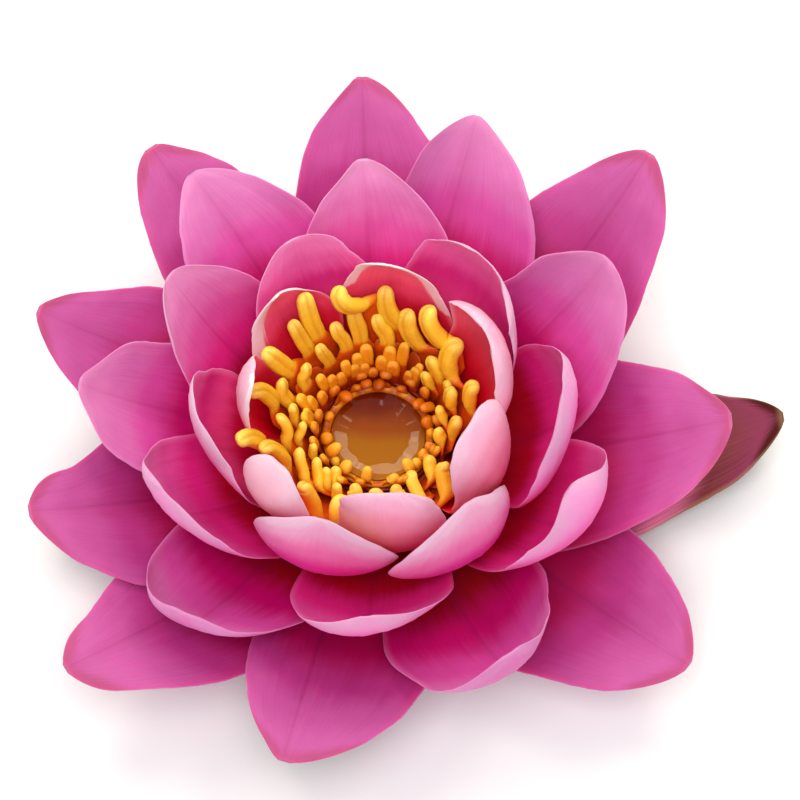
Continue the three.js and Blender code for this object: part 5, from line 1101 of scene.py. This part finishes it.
rings = [lambda a: (1.0, PZ), lambda a: (4.0, PZ), lambda a: (6.7, PZ + 0.1), lambda a: (7.75, PZ + 0.95), lambda a: (8.12, 17.2)] + [pool_top(j) for j in reversed(range(len(rs)))]
# ring runs from 0 at the front to 1 at the far side; it carries the nectar's painted shade and painted reflection
pool = polar("lily_nectar_pool", rings, 240, [POOL], lambda j, a, r, z: {"ring": 0.5 + 0.5 * math.sin(a) * r / 8.2})
place(pool, "nectar", "nectar_pool")

# --------------------------------------------------------------------- stage
floor_me = bpy.data.meshes.new("floor")
R = 3.0
floor_me.from_pydata([(-R, -R, 0), (R, -R, 0), (R, R, 0), (-R, R, 0)], [], [(0, 1, 2, 3)])
floor = bpy.data.objects.new("floor", floor_me)
bpy.context.scene.collection.objects.link(floor)
fm = bpy.data.materials.new("paper")
g = G(fm)
fb = g.n("ShaderNodeBsdfDiffuse")
g.link(g.ramp(g.noise(g.n("ShaderNodeTexCoord").outputs["Object"], 30.0, 2.0), [(0.0, (244, 244, 245)), (1.0, (248, 248, 248))]), fb.inputs[0])
fo = g.n("ShaderNodeOutputMaterial")
g.link(fb.outputs[0], fo.inputs[0])
floor_me.materials.append(fm)

scene = bpy.context.scene
scene.view_settings.view_transform = "Standard"
scene.view_settings.look = "None"
world = bpy.data.worlds.new("studio")
scene.world = world
world.use_nodes = True
bg = world.node_tree.nodes["Background"]
bg.inputs[0].default_value = (1.0, 1.0, 1.0, 1)
bg.inputs[1].default_value = 0.66


def area(name, pos, aim, size, power, colour=(1, 1, 1), size_y=None):
    li = bpy.data.lights.new(name, "AREA")
    li.energy = power
    li.color = colour
    li.shape = "RECTANGLE"
    li.size = size
    li.size_y = size_y or size
    ob = bpy.data.objects.new(name, li)
    bpy.context.scene.collection.objects.link(ob)
    ob.location = pos
    from mathutils import Vector
    ob.rotation_euler = (Vector(aim) - Vector(pos)).to_track_quat("-Z", "Y").to_euler()
    return ob


area("back", (0.0, 0.71, 0.73), (0, 0, 0.02), 0.27, 1.25, colour=(1.0, 0.94, 0.78))
area("back_left", (-0.245, 0.62, 0.77), (0, 0, 0.02), 0.27, 1.25, colour=(1.0, 0.94, 0.78))
area("back_right", (0.245, 0.62, 0.77), (0, 0, 0.02), 0.27, 1.25, colour=(1.0, 0.94, 0.78))
area("left", (-0.375, 0.40, 0.87), (0, 0, 0.02), 0.25, 1.05, colour=(1.0, 0.94, 0.78))
area("right", (0.375, 0.40, 0.87), (0, 0, 0.02), 0.25, 1.05, colour=(1.0, 0.94, 0.78))
area("top", (-0.10, -0.30, 1.0), (0, 0, 0.02), 0.6, 4.9)

# the photo's view: 22 degrees off straight down, from the -Y side
from mathutils import Matrix, Vector
EL = 68 * D
target = Vector((-CX * MM, -CY * MM, 0.020))
up = Vector((0, math.sin(EL), math.cos(EL)))
eye = target + 0.520 * Vector((0, -math.cos(EL), math.sin(EL)))
aim = target + Vector((1, 0, 0)) * (22 / 5.87 * MM) + up * (30 / 5.87 * MM)
cam_data = bpy.data.cameras.new("photo_view")
cam = bpy.data.objects.new("photo_view", cam_data)
scene.collection.objects.link(cam)
fwd = (aim - eye).normalized()
right = fwd.cross(up).normalized()
upv = right.cross(fwd)
m = Matrix((right, upv, -fwd)).transposed().to_4x4()
m.translation = eye
cam.matrix_world = m
cam_data.sensor_width = 36
cam_data.lens = 3052.4 / 800 * 36
cam_data.clip_start = 0.01
cam_data.clip_end = 10
scene.camera = cam
